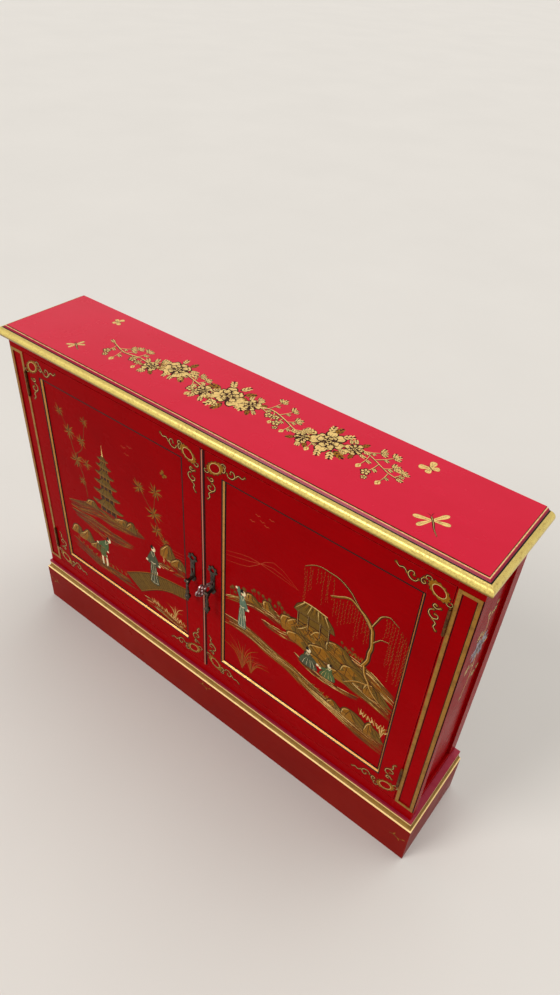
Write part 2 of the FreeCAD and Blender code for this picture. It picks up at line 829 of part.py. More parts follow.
def build_door(label, side):
    """A door: two stiles and two tenoned rails round a panel, with a gilt bead on the panel's edge."""
    thick = (front, door_back)
    tall = (door_bottom, door_top)
    groove_y = (panel_front, panel_back)
    groove_z = (opening_bottom - s.panel_tongue, opening_top + s.panel_tongue)
    top_tenon = (opening_top + s.panel_tongue, door_top - s.door_haunch)
    bottom_tenon = (door_bottom + s.door_haunch, opening_bottom - s.panel_tongue)
    deep = s.door_tenon_length + s.tenon_clearance
    leaf_sink = s.leaf_gap / 2 + s.leaf_thickness - s.hinge_gap / 2

    stiles = (
        ("hinge_stile", (opening_far, door_outer), (opening_far, opening_far + deep),
         (opening_far, opening_far + s.panel_tongue)),
        ("meeting_stile", (door_meeting, opening_near), (opening_near - deep, opening_near),
         (opening_near - s.panel_tongue, opening_near)),
    )
    for kind, width, mortise, groove in stiles:
        name = f"{label}_door_{kind}"
        blank = block(name + "_blank", span(side, *width), thick, tall)
        tools = [
            block(name + "_groove", span(side, *groove), groove_y, groove_z),
            block(name + "_top_mortise", span(side, *mortise), groove_y, top_tenon),
            block(name + "_bottom_mortise", span(side, *mortise), groove_y, bottom_tenon),
        ]
        if kind == "hinge_stile":
            for number, level in enumerate(hinge_levels, 1):
                tools.append(block(
                    f"{name}_hinge_mortise_{number}",
                    span(side, door_outer - leaf_sink, door_outer),
                    (front, front + s.leaf_depth),
                    (level, level + s.hinge_height),
                ))
        elif label == "right":
            tools += keyhole(name + "_keyhole", s.pull_offset * side, thick)
        keep(cut(name, blank, tools), name)

    reach = span(side, opening_near - s.door_tenon_length, opening_far + s.door_tenon_length)
    opening = span(side, opening_near, opening_far)
    rails = (
        ("top_rail", (opening_top, door_top), top_tenon, (opening_top, opening_top + s.panel_tongue)),
        ("bottom_rail", (door_bottom, opening_bottom), bottom_tenon,
         (opening_bottom - s.panel_tongue, opening_bottom)),
    )
    for kind, z, tenon_z, groove in rails:
        name = f"{label}_door_{kind}"
        body = block(name + "_body", opening, thick, z)
        tenons = block(name + "_tenons", reach, groove_y, tenon_z)
        slot = block(name + "_groove", opening, groove_y, groove)
        keep(cut(name, fuse(name + "_whole", [body, tenons]), [slot]), name)

    tongue = s.panel_tongue - s.panel_clearance
    panel = block(
        f"{label}_door_panel",
        span(side, opening_near - tongue, opening_far + tongue),
        groove_y,
        (opening_bottom - tongue, opening_top + tongue),
    )
    keep(panel, f"{label}_door_panel")
    build_bead(label, side)


def build_bead(label, side):
    """Four mitred strips of splayed bead that hold the front edge of a door panel."""
    section = [
        (0, 0),
        (s.bead_width, 0),
        (s.bead_width, s.bead_foot),
        (s.bead_land, s.bead_height),
        (0, s.bead_height),
    ]
    wide = opening_far - opening_near
    tall = opening_top - opening_bottom
    middle_x = (opening_near + opening_far) / 2 * side
    middle_z = (opening_bottom + opening_top) / 2
    upright = FreeCAD.Rotation(ACROSS, 90)
    strips = []
    runs = (
        ("bottom", wide, (middle_x, opening_bottom), 0),
        ("right", tall, (middle_x + wide / 2, middle_z), 90),
        ("top", wide, (middle_x, opening_top), 180),
        ("left", tall, (middle_x - wide / 2, middle_z), 270),
    )
    for edge, length, (x, z), angle in runs:
        strip = moulding(f"bead_{label}_{edge}", section, length, s.bead_width, (-1, 1))
        place(strip, x, panel_front, z, upright.multiply(FreeCAD.Rotation(UP, angle)))
        strips.append(strip)
    keep(group(f"{label}_door_bead", strips), f"{label}_door_bead")


def build_astragal():
    """The half-round strip on the right door's meeting edge."""
    body = new_body("astragal")
    radius = s.astragal_width / 2
    section = sketch_on(body, "XY_Plane", "astragal_section")
    outline(section, [
        (0, 0, radius, -1),
        (radius, -radius, radius, -1),
        (s.astragal_width, 0),
    ])
    pad(body, section, door_top - door_bottom)
    place(body, door_meeting, front, door_bottom)
    keep(body, "astragal")


def pull_plate(name):
    """A cast plate: pierced ring with lobes, neck with a keyhole, boss with a forked stud for the drop."""
    body = new_body(name)

    def raised(part, draw, *sizes):
        sketch = sketch_on(body, "XZ_Plane", f"{name}_{part}")
        draw(sketch, *sizes)
        return pad(body, sketch, s.plate_thickness), sketch

    raised("ring", circle, 0, 0, s.ring_radius)
    lobe, lobe_sketch = raised("lobe", circle, 0, s.ring_radius, s.lobe_radius)
    ring_of(body, lobe, lobe_sketch, s.lobe_count)
    neck = (-s.neck_width / 2, s.neck_width / 2)
    raised("neck", rectangle, neck, (-s.boss_drop, -s.ring_hole - s.lobe_radius))
    raised("boss", circle, 0, -s.boss_drop, s.boss_radius)
    raised("tail", circle, 0, -s.tail_drop, s.tail_radius)
    stud = sketch_on(body, "XZ_Plane", name + "_stud")
    circle(stud, 0, -s.boss_drop, s.stud_radius)
    pad(body, stud, s.pull_stand)

    def upright(part, radius):
        sketch = sketch_on(body, "YZ_Plane", f"{name}_{part}")
        circle(sketch, -s.pull_stand, -s.boss_drop, radius)
        return sketch

    pad(body, upright("knuckle", s.knuckle_radius), s.knuckle_width, middle=True)
    pocket(body, upright("fork", s.knuckle_radius + s.slot_clearance), s.slot_width)
    pocket(body, upright("bore", s.pull_pin_radius))

    hole = sketch_on(body, "XZ_Plane", name + "_hole")
    circle(hole, 0, 0, s.ring_hole)
    pocket(body, hole)
    stem = sketch_on(body, "XZ_Plane", name + "_key_stem")
    circle(stem, 0, -s.key_drop, s.key_radius + s.key_clearance)
    pocket(body, stem)
    slot = sketch_on(body, "XZ_Plane", name + "_key_slot")
    slot_x = (-s.key_slot_width / 2, s.key_slot_width / 2)
    rectangle(slot, slot_x, (-s.key_drop - s.key_slot_drop, -s.key_drop))
    pocket(body, slot)
    return body


def pull_drop(name):
    """A turned baluster drop with an eye at its head; local origin on the pin."""
    body = new_body(name)
    eye = sketch_on(body, "YZ_Plane", name + "_eye")
    circle(eye, 0, 0, s.eye_radius)
    pad(body, eye, s.eye_width, middle=True)
    profile = sketch_on(body, "XZ_Plane", name + "_profile")
    ball_seat = s.ball_radius * SEAT_WIDTH
    ball_neck = s.ball_radius * SEAT_DROP
    outline(profile, [
        (0, -s.pull_pin_radius * 2),
        (0, -s.tip_drop),
        (ball_seat, -s.ball_drop - ball_neck, s.ball_radius, -1),
        (ball_seat, -s.ball_drop + ball_neck),
        (s.stem_radius, -s.ball_drop + s.ball_radius + s.stem_radius),
        (s.vase_radius, -s.vase_drop),
        (s.stem_radius, -s.collar_drop - s.collar_height),
        (s.collar_radius, -s.collar_drop - s.collar_height / 2),
        (s.stem_radius, -s.collar_drop),
        (s.stem_radius, -s.pull_pin_radius * 2),
    ])
    turned(body, profile)
    bore = sketch_on(body, "YZ_Plane", name + "_bore")
    circle(bore, 0, 0, s.pull_pin_radius + s.pin_clearance)
    pocket(body, bore)
    return body


def build_pulls():
    for label, side in SIDES:
        x = s.pull_offset * side
        pivot = (x, front - s.pull_stand, s.pull_level - s.boss_drop)
        plate = pull_plate(f"{label}_pull_plate")
        place(plate, x, front, s.pull_level)
        keep(plate, f"{label}_pull_plate")
        drop = pull_drop(f"{label}_pull_drop")
        place(drop, *pivot)
        keep(drop, f"{label}_pull_drop")
        start = (x - s.knuckle_width / 2, pivot[1], pivot[2])
        pin = rod(
            f"{label}_pull_pin", s.pull_pin_radius, s.knuckle_width, start, FreeCAD.Rotation(INWARD, 90)
        )
        keep(pin, f"{label}_pull_pin")


def build_key():
    """A key in the right door: pierced four-lobed bow, collar, round stem and a flat bit."""
    body = new_body("key")
    bow_at = (-s.bow_reach, 0, 0)
    lobe_sketch = sketch_on(body, "YZ_Plane", "key_lobe", bow_at)
    circle(lobe_sketch, s.bow_offset, 0, s.bow_lobe)
    lobe = pad(body, lobe_sketch, s.bow_thickness, middle=True)
    ring_of(body, lobe, lobe_sketch, s.bow_lobes)
    hole_sketch = sketch_on(body, "YZ_Plane", "key_hole", bow_at)
    circle(hole_sketch, s.bow_offset, 0, s.bow_hole)
    hole = pocket(body, hole_sketch)
    ring_of(body, hole, hole_sketch, s.bow_lobes)
    eye = sketch_on(body, "YZ_Plane", "key_eye", bow_at)
    circle(eye, 0, 0, s.bow_eye)
    pocket(body, eye)

    def round_part(name, radius, start, length):
        sketch = sketch_on(body, "XZ_Plane", name, (0, 0, start))
        circle(sketch, 0, 0, radius)
        pad(body, sketch, length)

    stem_front = s.bow_reach - s.bow_offset - s.bow_hole - s.bow_eye / 2
    stem_back = s.door_thickness + s.lock_depth - s.key_end_gap
    round_part("key_stem", s.key_radius, -stem_back, stem_back + stem_front)
    round_part("key_collar", s.key_collar_radius, s.key_collar_reach, s.key_collar_width)
    bit = sketch_on(body, "YZ_Plane", "key_bit")
    bit_start = s.door_thickness + s.bit_gap
    rectangle(bit, (bit_start, bit_start + s.bit_width), (-s.bit_drop, 0))
    pad(body, bit, s.bit_thickness, middle=True)
    place(body, s.pull_offset, front, key_level)
    keep(body, "key")


def build_lock():
    """A pressed lock case on the right door, its bolt, and the keep on the left door."""
    case_x = (s.lock_edge, s.lock_edge + s.lock_width)
    case_y = (door_back, door_back + s.lock_depth)
    case_z = (key_level - s.lock_height / 2, key_level + s.lock_height / 2)
    bolt_y = (door_back + s.lock_bolt_stand, door_back + s.lock_bolt_stand + s.lock_bolt_thickness)
    bolt_z = (key_level + s.lock_bolt_rise, key_level + s.lock_bolt_rise + s.lock_bolt_height)
    bolt_tip = s.lock_edge - s.lock_bolt_show

    def wider(pair, by):
        low, high = pair
        return (low - by, high + by)

    case = block("lock_blank", case_x, case_y, case_z)
    hollow = block(
        "lock_hollow",
        wider(case_x, -s.lock_wall),
        (door_back, case_y[1] - s.lock_wall),
        wider(case_z, -s.lock_wall),
    )
    slot = block(
        "lock_slot",
        (s.lock_edge, s.lock_edge + s.lock_wall),
        wider(bolt_y, s.bolt_clearance),
        wider(bolt_z, s.bolt_clearance),
    )
    pilot = rod(
        "lock_pilot",
        s.key_radius + s.key_clearance,
        s.lock_wall,
        (s.pull_offset, case_y[1] - s.lock_wall, key_level),
        FreeCAD.Rotation(ACROSS, -90),
    )
    keep(cut("lock_case", case, [hollow, slot, pilot]), "lock_case")
    keep(block("lock_bolt", (bolt_tip, bolt_tip + s.lock_bolt_length), bolt_y, bolt_z), "lock_bolt")

    keep_middle = (bolt_z[0] + bolt_z[1]) / 2
    keep_x = (-s.keep_edge - s.keep_width, -s.keep_edge)
    keep_z = (keep_middle - s.keep_height / 2, keep_middle + s.keep_height / 2)
    shell = block("keep_blank", keep_x, (door_back, bolt_y[1] + s.bolt_clearance + s.keep_wall), keep_z)
    mouth = block(
        "keep_mouth",
        (keep_x[0] + s.keep_wall, keep_x[1]),
        (door_back, bolt_y[1] + s.bolt_clearance),
        wider(bolt_z, s.bolt_clearance),
    )
    keep(cut("lock_keep", shell, [mouth]), "lock_keep")


def build_door_bolt():
    """The sliding bolt inside the left door: a plate with two staples, and a round bolt with a knob."""
    plate_top = door_top - s.bolt_plate_drop
    plate_bottom = plate_top - s.bolt_plate_height
    axis_y = door_back + s.rod_stand

    def centred(width):
        return (-s.rod_offset - width / 2, -s.rod_offset + width / 2)

    plate_y = (door_back, door_back + s.bolt_plate_thickness)
    pieces = [block("bolt_plate_flat", centred(s.bolt_plate_width), plate_y, (plate_bottom, plate_top))]
    lows = (plate_bottom + s.staple_inset, plate_top - s.staple_inset - s.staple_height)
    for number, low in enumerate(lows, 1):
        staple_y = (door_back, door_back + s.staple_depth)
        staple_z = (low, low + s.staple_height)
        pieces.append(block(f"staple_{number}", centred(s.staple_width), staple_y, staple_z))
    tunnel = rod(
        "staple_tunnel",
        s.rod_radius + s.bolt_clearance,
        s.bolt_plate_height,
        (-s.rod_offset, axis_y, plate_bottom),
    )
    keep(cut("bolt_plate", fuse("bolt_plate_whole", pieces), [tunnel]), "bolt_plate")

    tip = door_top - s.rod_drop
    bar = rod("rod_bar", s.rod_radius, s.rod_length, (-s.rod_offset, axis_y, tip - s.rod_length))
    knob_at = (-s.rod_offset, axis_y, tip - s.rod_knob_drop)
    knob = rod("rod_knob", s.rod_radius, s.rod_knob_length, knob_at, FreeCAD.Rotation(ACROSS, -90))
    keep(fuse("door_bolt", [bar, knob]), "door_bolt")


build_top()
build_base()
build_cross_rails()
build_posts()
build_ends()
build_boards()
build_hinges()
for door_label, door_side in SIDES:
    build_door(door_label, door_side)
build_astragal()
build_pulls()
build_key()
build_lock()
build_door_bolt()
doc.recompute()

failed = [item.Name for item in doc.Objects if {"Invalid", "Error"} & set(item.State)]
failed += [node.Label for node in nodes if node.Shape.isNull() or not node.Shape.isValid()]
if failed:
    raise RuntimeError("not built: " + ", ".join(failed))

os.makedirs("parts", exist_ok=True)
for node in nodes:
    node.Shape.exportStep(f"parts/{node.Label}.step")
    print(f"{node.Label}: {len(node.Shape.Solids)} solids, {node.Shape.Volume:.0f} mm3")
print(f"{len(nodes)} sub-parts")
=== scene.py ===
"""Looks of the red lacquered console cabinet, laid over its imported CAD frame.

The woodwork keeps its CAD shape and gets lacquer, gilding and stained wood. The painted decoration lies on it
as thin raised shapes, one coat of each ink on each face. Places on a face are millimetres in the cabinet's
own axes.
"""

import math
import random

import bpy
from bpy.props import FloatProperty, FloatVectorProperty, PointerProperty
from mathutils import Matrix, Vector


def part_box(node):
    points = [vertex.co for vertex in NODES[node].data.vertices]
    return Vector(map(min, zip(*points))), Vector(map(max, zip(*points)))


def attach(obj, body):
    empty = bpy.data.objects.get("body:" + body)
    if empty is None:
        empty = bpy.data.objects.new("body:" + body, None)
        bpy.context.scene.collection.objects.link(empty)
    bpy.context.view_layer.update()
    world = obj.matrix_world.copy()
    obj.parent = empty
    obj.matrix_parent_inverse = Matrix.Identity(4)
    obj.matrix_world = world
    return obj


bl_info = {
    "name": "Lacquered Console Cabinet",
    "version": (1, 0, 0),
    "blender": (4, 5, 0),
    "location": "View3D > Sidebar > Cabinet",
    "description": "Lacquer, gilding, painted decoration and studio for a console cabinet",
    "category": "Object",
}

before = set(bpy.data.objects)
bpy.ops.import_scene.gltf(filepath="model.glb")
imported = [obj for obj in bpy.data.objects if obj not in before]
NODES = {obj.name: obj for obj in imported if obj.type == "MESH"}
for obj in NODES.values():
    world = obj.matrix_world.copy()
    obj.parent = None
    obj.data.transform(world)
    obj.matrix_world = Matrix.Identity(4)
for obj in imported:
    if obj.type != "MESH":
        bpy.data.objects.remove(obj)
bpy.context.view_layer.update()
MM = 0.001
SIDES = (("left", -1), ("right", 1))


def span(node, axis):
    """Where a CAD node starts and ends along an axis, in millimetres."""
    return [corner["xyz".index(axis)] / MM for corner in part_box(node)]


TOP_FACE = span("top_board", "z")[1]
TOP_FRONT = span("top_moulding_front", "y")[0]
TOP_END = span("top_moulding_right", "x")[1]
FRAME_FACE = span("right_door_top_rail", "y")[0]
PANEL_FACE = span("right_door_panel", "y")[0]
PLINTH_FACE = span("plinth_front", "y")[0]
END_FACE = span("side_panel_right", "x")[1]

# Sizes of CAD parts that their boxes don't give
BEAD_WIDTH = 4.6
BAND_WIDTH = 6.4
POST_SINK = 1.5
HINGE_HEIGHT = 56.0
LEAF_DEPTH = 16.0
LEAF_GAP = 0.2
PULL_PLATE = 2.5
PULL_SCREW_DROP = 28.0
BOLT_PLATE = 2.0


# Sizes and colours that a user would change

def colour(name, description, default):
    return FloatVectorProperty(
        name=name, description=description, default=default, min=0.0, max=1.0, subtype="COLOR_GAMMA"
    )


class CabinetFinishes(bpy.types.PropertyGroup):
    front_red: colour("Front red", "Lacquer of the doors, posts and ends", (0.61, 0.0, 0.02))
    front_deep: colour("Front shade", "Deeper clouds in the front lacquer", (0.52, 0.0, 0.015))
    # The top's reds are lighter and pinker than the front's: partly fading, partly painted light and sheen.
    top_red: colour("Top red", "Lacquer of the top, faded by light", (0.795, 0.085, 0.205))
    top_deep: colour("Top shade", "Deeper clouds in the top lacquer", (0.76, 0.06, 0.17))
    # The plinth's browner red is partly a painted reflection of a brown floor.
    plinth_red: colour("Plinth red", "Browner lacquer of the plinth", (0.53, 0.10, 0.06))
    plinth_deep: colour("Plinth shade", "Deeper clouds in the plinth lacquer", (0.46, 0.06, 0.04))
    # The astragal's paler red brown is partly painted sheen, and its crest colour is a painted highlight.
    astragal_red: colour("Astragal red", "Polished red brown of the astragal", (0.55, 0.16, 0.08))
    astragal_deep: colour("Astragal shade", "Deeper clouds in the astragal", (0.42, 0.08, 0.05))
    astragal_crest_highlight: colour("Astragal crest", "Pale worn crest of the astragal", (0.74, 0.44, 0.33))
    # Paler red along the arrises: wear and a painted highlight.
    rubbed: colour("Rubbed edge", "Lacquer worn thin along its arrises", (0.80, 0.30, 0.26))
    strip_red: colour("Strip red", "Pink red of the narrow strip round the top", (0.80, 0.20, 0.31))
    # On the plinth's ledge this crimson also carries a painted sheen.
    ledge_red: colour("Ledge red", "Crimson of the plinth's ledge and the top's strip", (0.60, 0.03, 0.18))
    # Black painted as shade in the quirks and grooves beside the gilding and the astragal.
    line_black: colour("Line black", "Black lines beside the gilding", (0.055, 0.03, 0.03))
    line_brown: colour("Line brown", "Dark red lines beside the top's gilt line", (0.34, 0.05, 0.05))
    leaf_gold: colour("Leaf gold", "Bright gilding of the top moulding", (0.93, 0.83, 0.44))
    # Leaf shade also serves as the painted shade on the top moulding's round.
    leaf_shade: colour("Leaf shade", "Worn places in the bright gilding", (0.50, 0.36, 0.10))
    bead_gold: colour("Bead gold", "Gilding of the door beads", (0.82, 0.58, 0.27))
    dull_gold: colour("Dull gold", "Ochre gilding of the bands and beads", (0.62, 0.43, 0.10))
    dull_shade: colour("Dull gold shade", "Dark places in the ochre gilding", (0.42, 0.27, 0.05))
    # The olive of the hollow is partly painted shade.
    hollow_gold_and_shade: colour("Base gold", "Olive gilding of the base moulding's hollow", (0.55, 0.40, 0.08))
    # On the base moulding these bright arrises are partly painted highlights.
    arris_gold: colour("Arris gold", "Bright edges of the base moulding", (0.98, 0.84, 0.56))
    wood: colour("Wood", "Stained wood inside and behind", (0.50, 0.31, 0.16))
    wood_dark: colour("Wood grain", "Dark grain of the stained wood", (0.30, 0.17, 0.08))
    iron: colour("Iron", "Door bolt and its plate", (0.16, 0.12, 0.10))
    # The brass's red cast is partly a painted reflection of the red lacquer.
    brass: colour("Brass", "Brown old brass of the hinges", (0.46, 0.28, 0.10))
    bronze: colour("Bronze", "Pull plates and drops", (0.34, 0.29, 0.24))
    steel: colour("Steel", "Lock and its keep", (0.62, 0.58, 0.54))
    # The key's pink tint is partly a painted reflection of the red lacquer.
    silver: colour("Key metal", "Bright worn key", (0.68, 0.58, 0.57))
    arris: FloatProperty(
        name="Arris", description="Rounding of the lacquered edges", default=0.0006, min=0.0, max=0.002,
        subtype="DISTANCE", unit="LENGTH",
    )


class CabinetInks(bpy.types.PropertyGroup):
    gold: colour("Gold", "Gold of lines, leaves and petals", (0.92, 0.77, 0.47))
    ochre: colour("Ochre", "Dull gold of banks, rocks and roofs", (0.60, 0.39, 0.07))
    olive: colour("Olive", "Greenish brown in the leaves", (0.43, 0.31, 0.09))
    earth: colour("Earth", "Thin brown wash of the banks", (0.44, 0.17, 0.03))
    umber: colour("Umber", "Brown outlines and veins", (0.22, 0.10, 0.04))
    black: colour("Black", "Hair and ruled lines", (0.05, 0.03, 0.03))
    green: colour("Green", "Green robes", (0.30, 0.38, 0.22))
    teal: colour("Teal", "Blue green robes", (0.38, 0.47, 0.38))
    slate: colour("Slate", "Grey green robe", (0.29, 0.31, 0.22))
    ivory: colour("Ivory", "Faces, hands and linings", (0.93, 0.84, 0.66))
    silver: colour("Silver", "Blossom on the ends", (0.66, 0.62, 0.66))
    rose: colour("Rose", "Thin distant lines", (0.68, 0.25, 0.12))


class CabinetStudio(bpy.types.PropertyGroup):
    floor: colour("Floor", "Plain pale floor", (0.83, 0.81, 0.78))
    floor_reach: FloatProperty(
        name="Floor reach", description="How far the floor runs from the cabinet", default=60.0, unit="LENGTH"
    )
    sky: FloatProperty(name="Sky", description="Strength of the even light all round", default=0.55, min=0.0)
    backdrop: FloatProperty(name="Backdrop", description="Sky as seen", default=0.85, min=0.0)
    key: FloatProperty(name="Key", description="Strength of the soft light from above", default=1.1, min=0.0)
    fill: FloatProperty(name="Fill", description="Strength of the soft front light", default=1.35, min=0.0)
    eye: FloatVectorProperty(
        name="Eye", description="Where the camera stands", default=(0.7089, -0.8276, 1.4805),
        subtype="TRANSLATION", unit="LENGTH",
    )
    azimuth: FloatProperty(
        name="Azimuth", description="Turn of the view about the upright", default=math.radians(36.165),
        subtype="ANGLE",
    )
    dip: FloatProperty(
        name="Dip", description="How far the view looks down", default=math.radians(39.295), subtype="ANGLE"
    )
    roll: FloatProperty(
        name="Roll", description="Tilt of the picture", default=math.radians(-3.827), subtype="ANGLE"
    )
    lens: FloatProperty(
        name="Lens", description="Focal length on a 36 mm frame", default=26.24, subtype="DISTANCE_CAMERA"
    )
    shift: FloatVectorProperty(
        name="Shift", description="Place of the picture's middle", default=(0.0029, -0.001), size=2
    )


# Shader trees

def linear(shade):
    """A colour as a shader socket takes it, from one written as the screen shows it."""
    return [c / 12.92 if c <= 0.04045 else ((c + 0.055) / 1.055) ** 2.4 for c in shade] + [1.0]


class Tree:
    """Adds nodes to a shader tree and joins them."""

    def __init__(self, tree):
        self.tree = tree

    def add(self, kind, inputs=(), **settings):
        node = self.tree.nodes.new("ShaderNode" + kind)
        for key, value in settings.items():
            setattr(node, key, value)
        for key, value in dict(inputs).items():
            self.put(node.inputs[key], value)
        return node

    def put(self, socket, value):
        if isinstance(value, bpy.types.NodeSocket):
            self.tree.links.new(value, socket)
        else:
            socket.default_value = value

    def group(self, name, inputs):
        node = self.add("Group", node_tree=bpy.data.node_groups[name])
        for key, value in inputs.items():
            self.put(node.inputs[key], value)
        return node.outputs

    def place(self):
        return self.add("TexCoord").outputs["Object"]

    def axis(self, name):
        """The place along one axis, in metres."""
        return self.add("SeparateXYZ", {0: self.place()}).outputs[name]

    def math(self, operation, first, second=0.0):
        return self.add("Math", {0: first, 1: second}, operation=operation).outputs[0]

    def noise(self, vector, scale, detail=3.0, roughness=0.55):
        inputs = {"Vector": vector, "Scale": scale, "Detail": detail, "Roughness": roughness}
        return self.add("TexNoise", inputs).outputs["Fac"]

    def stretch(self, vector, shares):
        return self.add("Mapping", {"Vector": vector, "Scale": shares}).outputs["Vector"]

    def spread(self, value, low, high, to_low=0.0, to_high=1.0):
        """A value between two limits, stretched to run between two others."""
        inputs = {"Value": value, "From Min": low, "From Max": high, "To Min": to_low, "To Max": to_high}
        return self.add("MapRange", inputs).outputs["Result"]

    def mix(self, share, first, second):
        return self.add("Mix", {0: share, 6: first, 7: second}, data_type="RGBA").outputs[2]

    def bump(self, height, strength, depth):
        inputs = {"Height": height, "Strength": strength, "Distance": depth}
        return self.add("Bump", inputs).outputs["Normal"]


def shader_group(name, inputs, outputs):
    """A new node group, with its tree, its inner inputs and its inner outputs."""
    tree = bpy.data.node_groups.new(name, "ShaderNodeTree")
    for label, kind in inputs.items():
        tree.interface.new_socket(label, in_out="INPUT", socket_type="NodeSocket" + kind)
    for label, kind in outputs.items():
        tree.interface.new_socket(label, in_out="OUTPUT", socket_type="NodeSocket" + kind)
    return Tree(tree), tree.nodes.new("NodeGroupInput").outputs, tree.nodes.new("NodeGroupOutput").inputs


SURFACE = {"Colour": "Color", "Roughness": "Float", "Height": "Float"}


def make_arris_wear_and_highlight():
    """A mask that is 1 along an arris, broken up so that it isn't even: where wear and a painted highlight
    go.
    """
    inputs = {"Vector": "Vector", "Width": "Float"}
    tree, given, out = shader_group("Rubbed edge", inputs, {"Mask": "Float"})
    rounded = tree.add("Bevel", {"Radius": given["Width"]}, samples=4).outputs["Normal"]
    straight = tree.add("NewGeometry").outputs["Normal"]
    turned = tree.add("VectorMath", {0: rounded, 1: straight}, operation="DOT_PRODUCT").outputs["Value"]
    arris = tree.spread(turned, 0.97, 0.8)
    breaks = tree.spread(tree.noise(given["Vector"], scale=90.0, detail=4.0), 0.4, 0.6)
    tree.put(out["Mask"], tree.math("MULTIPLY", arris, breaks))


def make_lacquer_skin():
    """Brushed lacquer: slow clouds, fine brush lines, specks, and a gloss that isn't quite even."""
    inputs = {"Vector": "Vector", "Red": "Color", "Deep": "Color", "Gloss": "Float"}
    tree, given, out = shader_group("Lacquer skin", inputs, SURFACE)
    place = given["Vector"]
    clouds = tree.noise(place, scale=5.0, detail=5.0)
    brushed = tree.noise(tree.stretch(place, (25.0, 60.0, 260.0)), scale=1.0, detail=2.0)
    cloudy = tree.spread(clouds, 0.3, 0.75, 0.0, 0.75)
    streaky = tree.spread(brushed, 0.35, 0.7, 0.0, 0.25)
    specks = tree.spread(tree.noise(place, scale=700.0, detail=1.0), 0.70, 0.78, 0.0, 0.8)
    shade = tree.math("MAXIMUM", tree.math("ADD", cloudy, streaky), specks)
    tree.put(out["Colour"], tree.mix(shade, given["Red"], given["Deep"]))
    uneven = tree.spread(tree.noise(place, scale=14.0, detail=4.0), 0.3, 0.7, -0.05, 0.07)
    tree.put(out["Roughness"], tree.math("ADD", given["Gloss"], uneven))
    ripple = tree.noise(place, scale=40.0, detail=2.0)
    tree.put(out["Height"], tree.math("ADD", ripple, tree.math("MULTIPLY", brushed, 0.3)))


def make_gold_leaf():
    """Gilding laid over clay: mottled, with small worn flecks."""
    inputs = {"Vector": "Vector", "Gold": "Color", "Shade": "Color", "Scale": "Float", "Gloss": "Float"}
    tree, given, out = shader_group("Gold leaf", inputs, SURFACE)
    place, scale = given["Vector"], given["Scale"]
    mottle = tree.noise(place, scale, detail=6.0, roughness=0.7)
    flecks = tree.noise(place, tree.math("MULTIPLY", scale, 4.3), detail=3.0, roughness=0.6)
    dull = tree.spread(mottle, 0.47, 0.72, 0.0, 0.8)
    worn = tree.math("MAXIMUM", dull, tree.spread(flecks, 0.60, 0.68, 0.0, 0.9))
    tree.put(out["Colour"], tree.mix(worn, given["Gold"], given["Shade"]))
    tree.put(out["Roughness"], tree.math("ADD", given["Gloss"], tree.math("MULTIPLY", worn, 0.25)))
    tree.put(out["Height"], tree.math("SUBTRACT", mottle, tree.math("MULTIPLY", flecks, 0.4)))


def make_patina():
    """Old metal: dark in patches, brighter where it is handled."""
    inputs = {"Vector": "Vector", "Metal": "Color", "Dark": "Color", "Scale": "Float", "Gloss": "Float"}
    tree, given, out = shader_group("Patina", inputs, SURFACE)
    place, scale = given["Vector"], given["Scale"]
    patches = tree.noise(place, scale, detail=6.0, roughness=0.65)
    pits = tree.noise(place, tree.math("MULTIPLY", scale, 6.0), detail=3.0)
    dark = tree.spread(patches, 0.35, 0.65)
    tree.put(out["Colour"], tree.mix(dark, given["Metal"], given["Dark"]))
    tree.put(out["Roughness"], tree.math("ADD", given["Gloss"], tree.math("MULTIPLY", dark, 0.25)))
    tree.put(out["Height"], tree.math("ADD", patches, tree.math("MULTIPLY", pits, 0.5)))


def make_timber():
    """Stained wood with its grain along the board."""
    inputs = {"Vector": "Vector", "Wood": "Color", "Grain": "Color"}
    tree, given, out = shader_group("Timber", inputs, SURFACE)
    place = given["Vector"]
    drift = tree.noise(tree.stretch(place, (2.5, 22.0, 22.0)), scale=1.0, detail=4.0)
    fibres = tree.noise(tree.stretch(place, (9.0, 420.0, 420.0)), scale=1.0, detail=3.0)
    broad = tree.spread(drift, 0.35, 0.65, 0.0, 0.6)
    fine = tree.spread(fibres, 0.45, 0.7, 0.0, 0.5)
    tree.put(out["Colour"], tree.mix(tree.math("ADD", broad, fine), given["Wood"], given["Grain"]))
    tree.put(out["Roughness"], tree.spread(fibres, 0.2, 0.8, 0.5, 0.75))
    tree.put(out["Height"], fibres)


def make_painted_line():
    """A mask that is 1 where a value lies between two limits."""
    inputs = {"Value": "Float", "From": "Float", "To": "Float"}
    tree, given, out = shader_group("Painted line", inputs, {"Mask": "Float"})
    above = tree.math("GREATER_THAN", given["Value"], given["From"])
    below = tree.math("LESS_THAN", given["Value"], given["To"])
    tree.put(out["Mask"], tree.math("MULTIPLY", above, below))


GROUPS = (
    make_arris_wear_and_highlight, make_lacquer_skin, make_gold_leaf, make_patina, make_timber, make_painted_line
)


# Finishes

ARRIS_MARK_WIDTH = 1.6 * MM
ARRIS_MARK_SHARE = 0.6


def new_material(name):
    """A new material with its tree and its Principled shader."""
    material = bpy.data.materials.new(name)
    material.use_nodes = True
    tree = Tree(material.node_tree)
    return material, tree, material.node_tree.nodes["Principled BSDF"].inputs


def dress(tree, shader, surface, strength, depth):
    """Joins a surface group to the Principled shader."""
    tree.put(shader["Base Color"], surface["Colour"])
    tree.put(shader["Roughness"], surface["Roughness"])
    tree.put(shader["Normal"], tree.bump(surface["Height"], strength, depth))


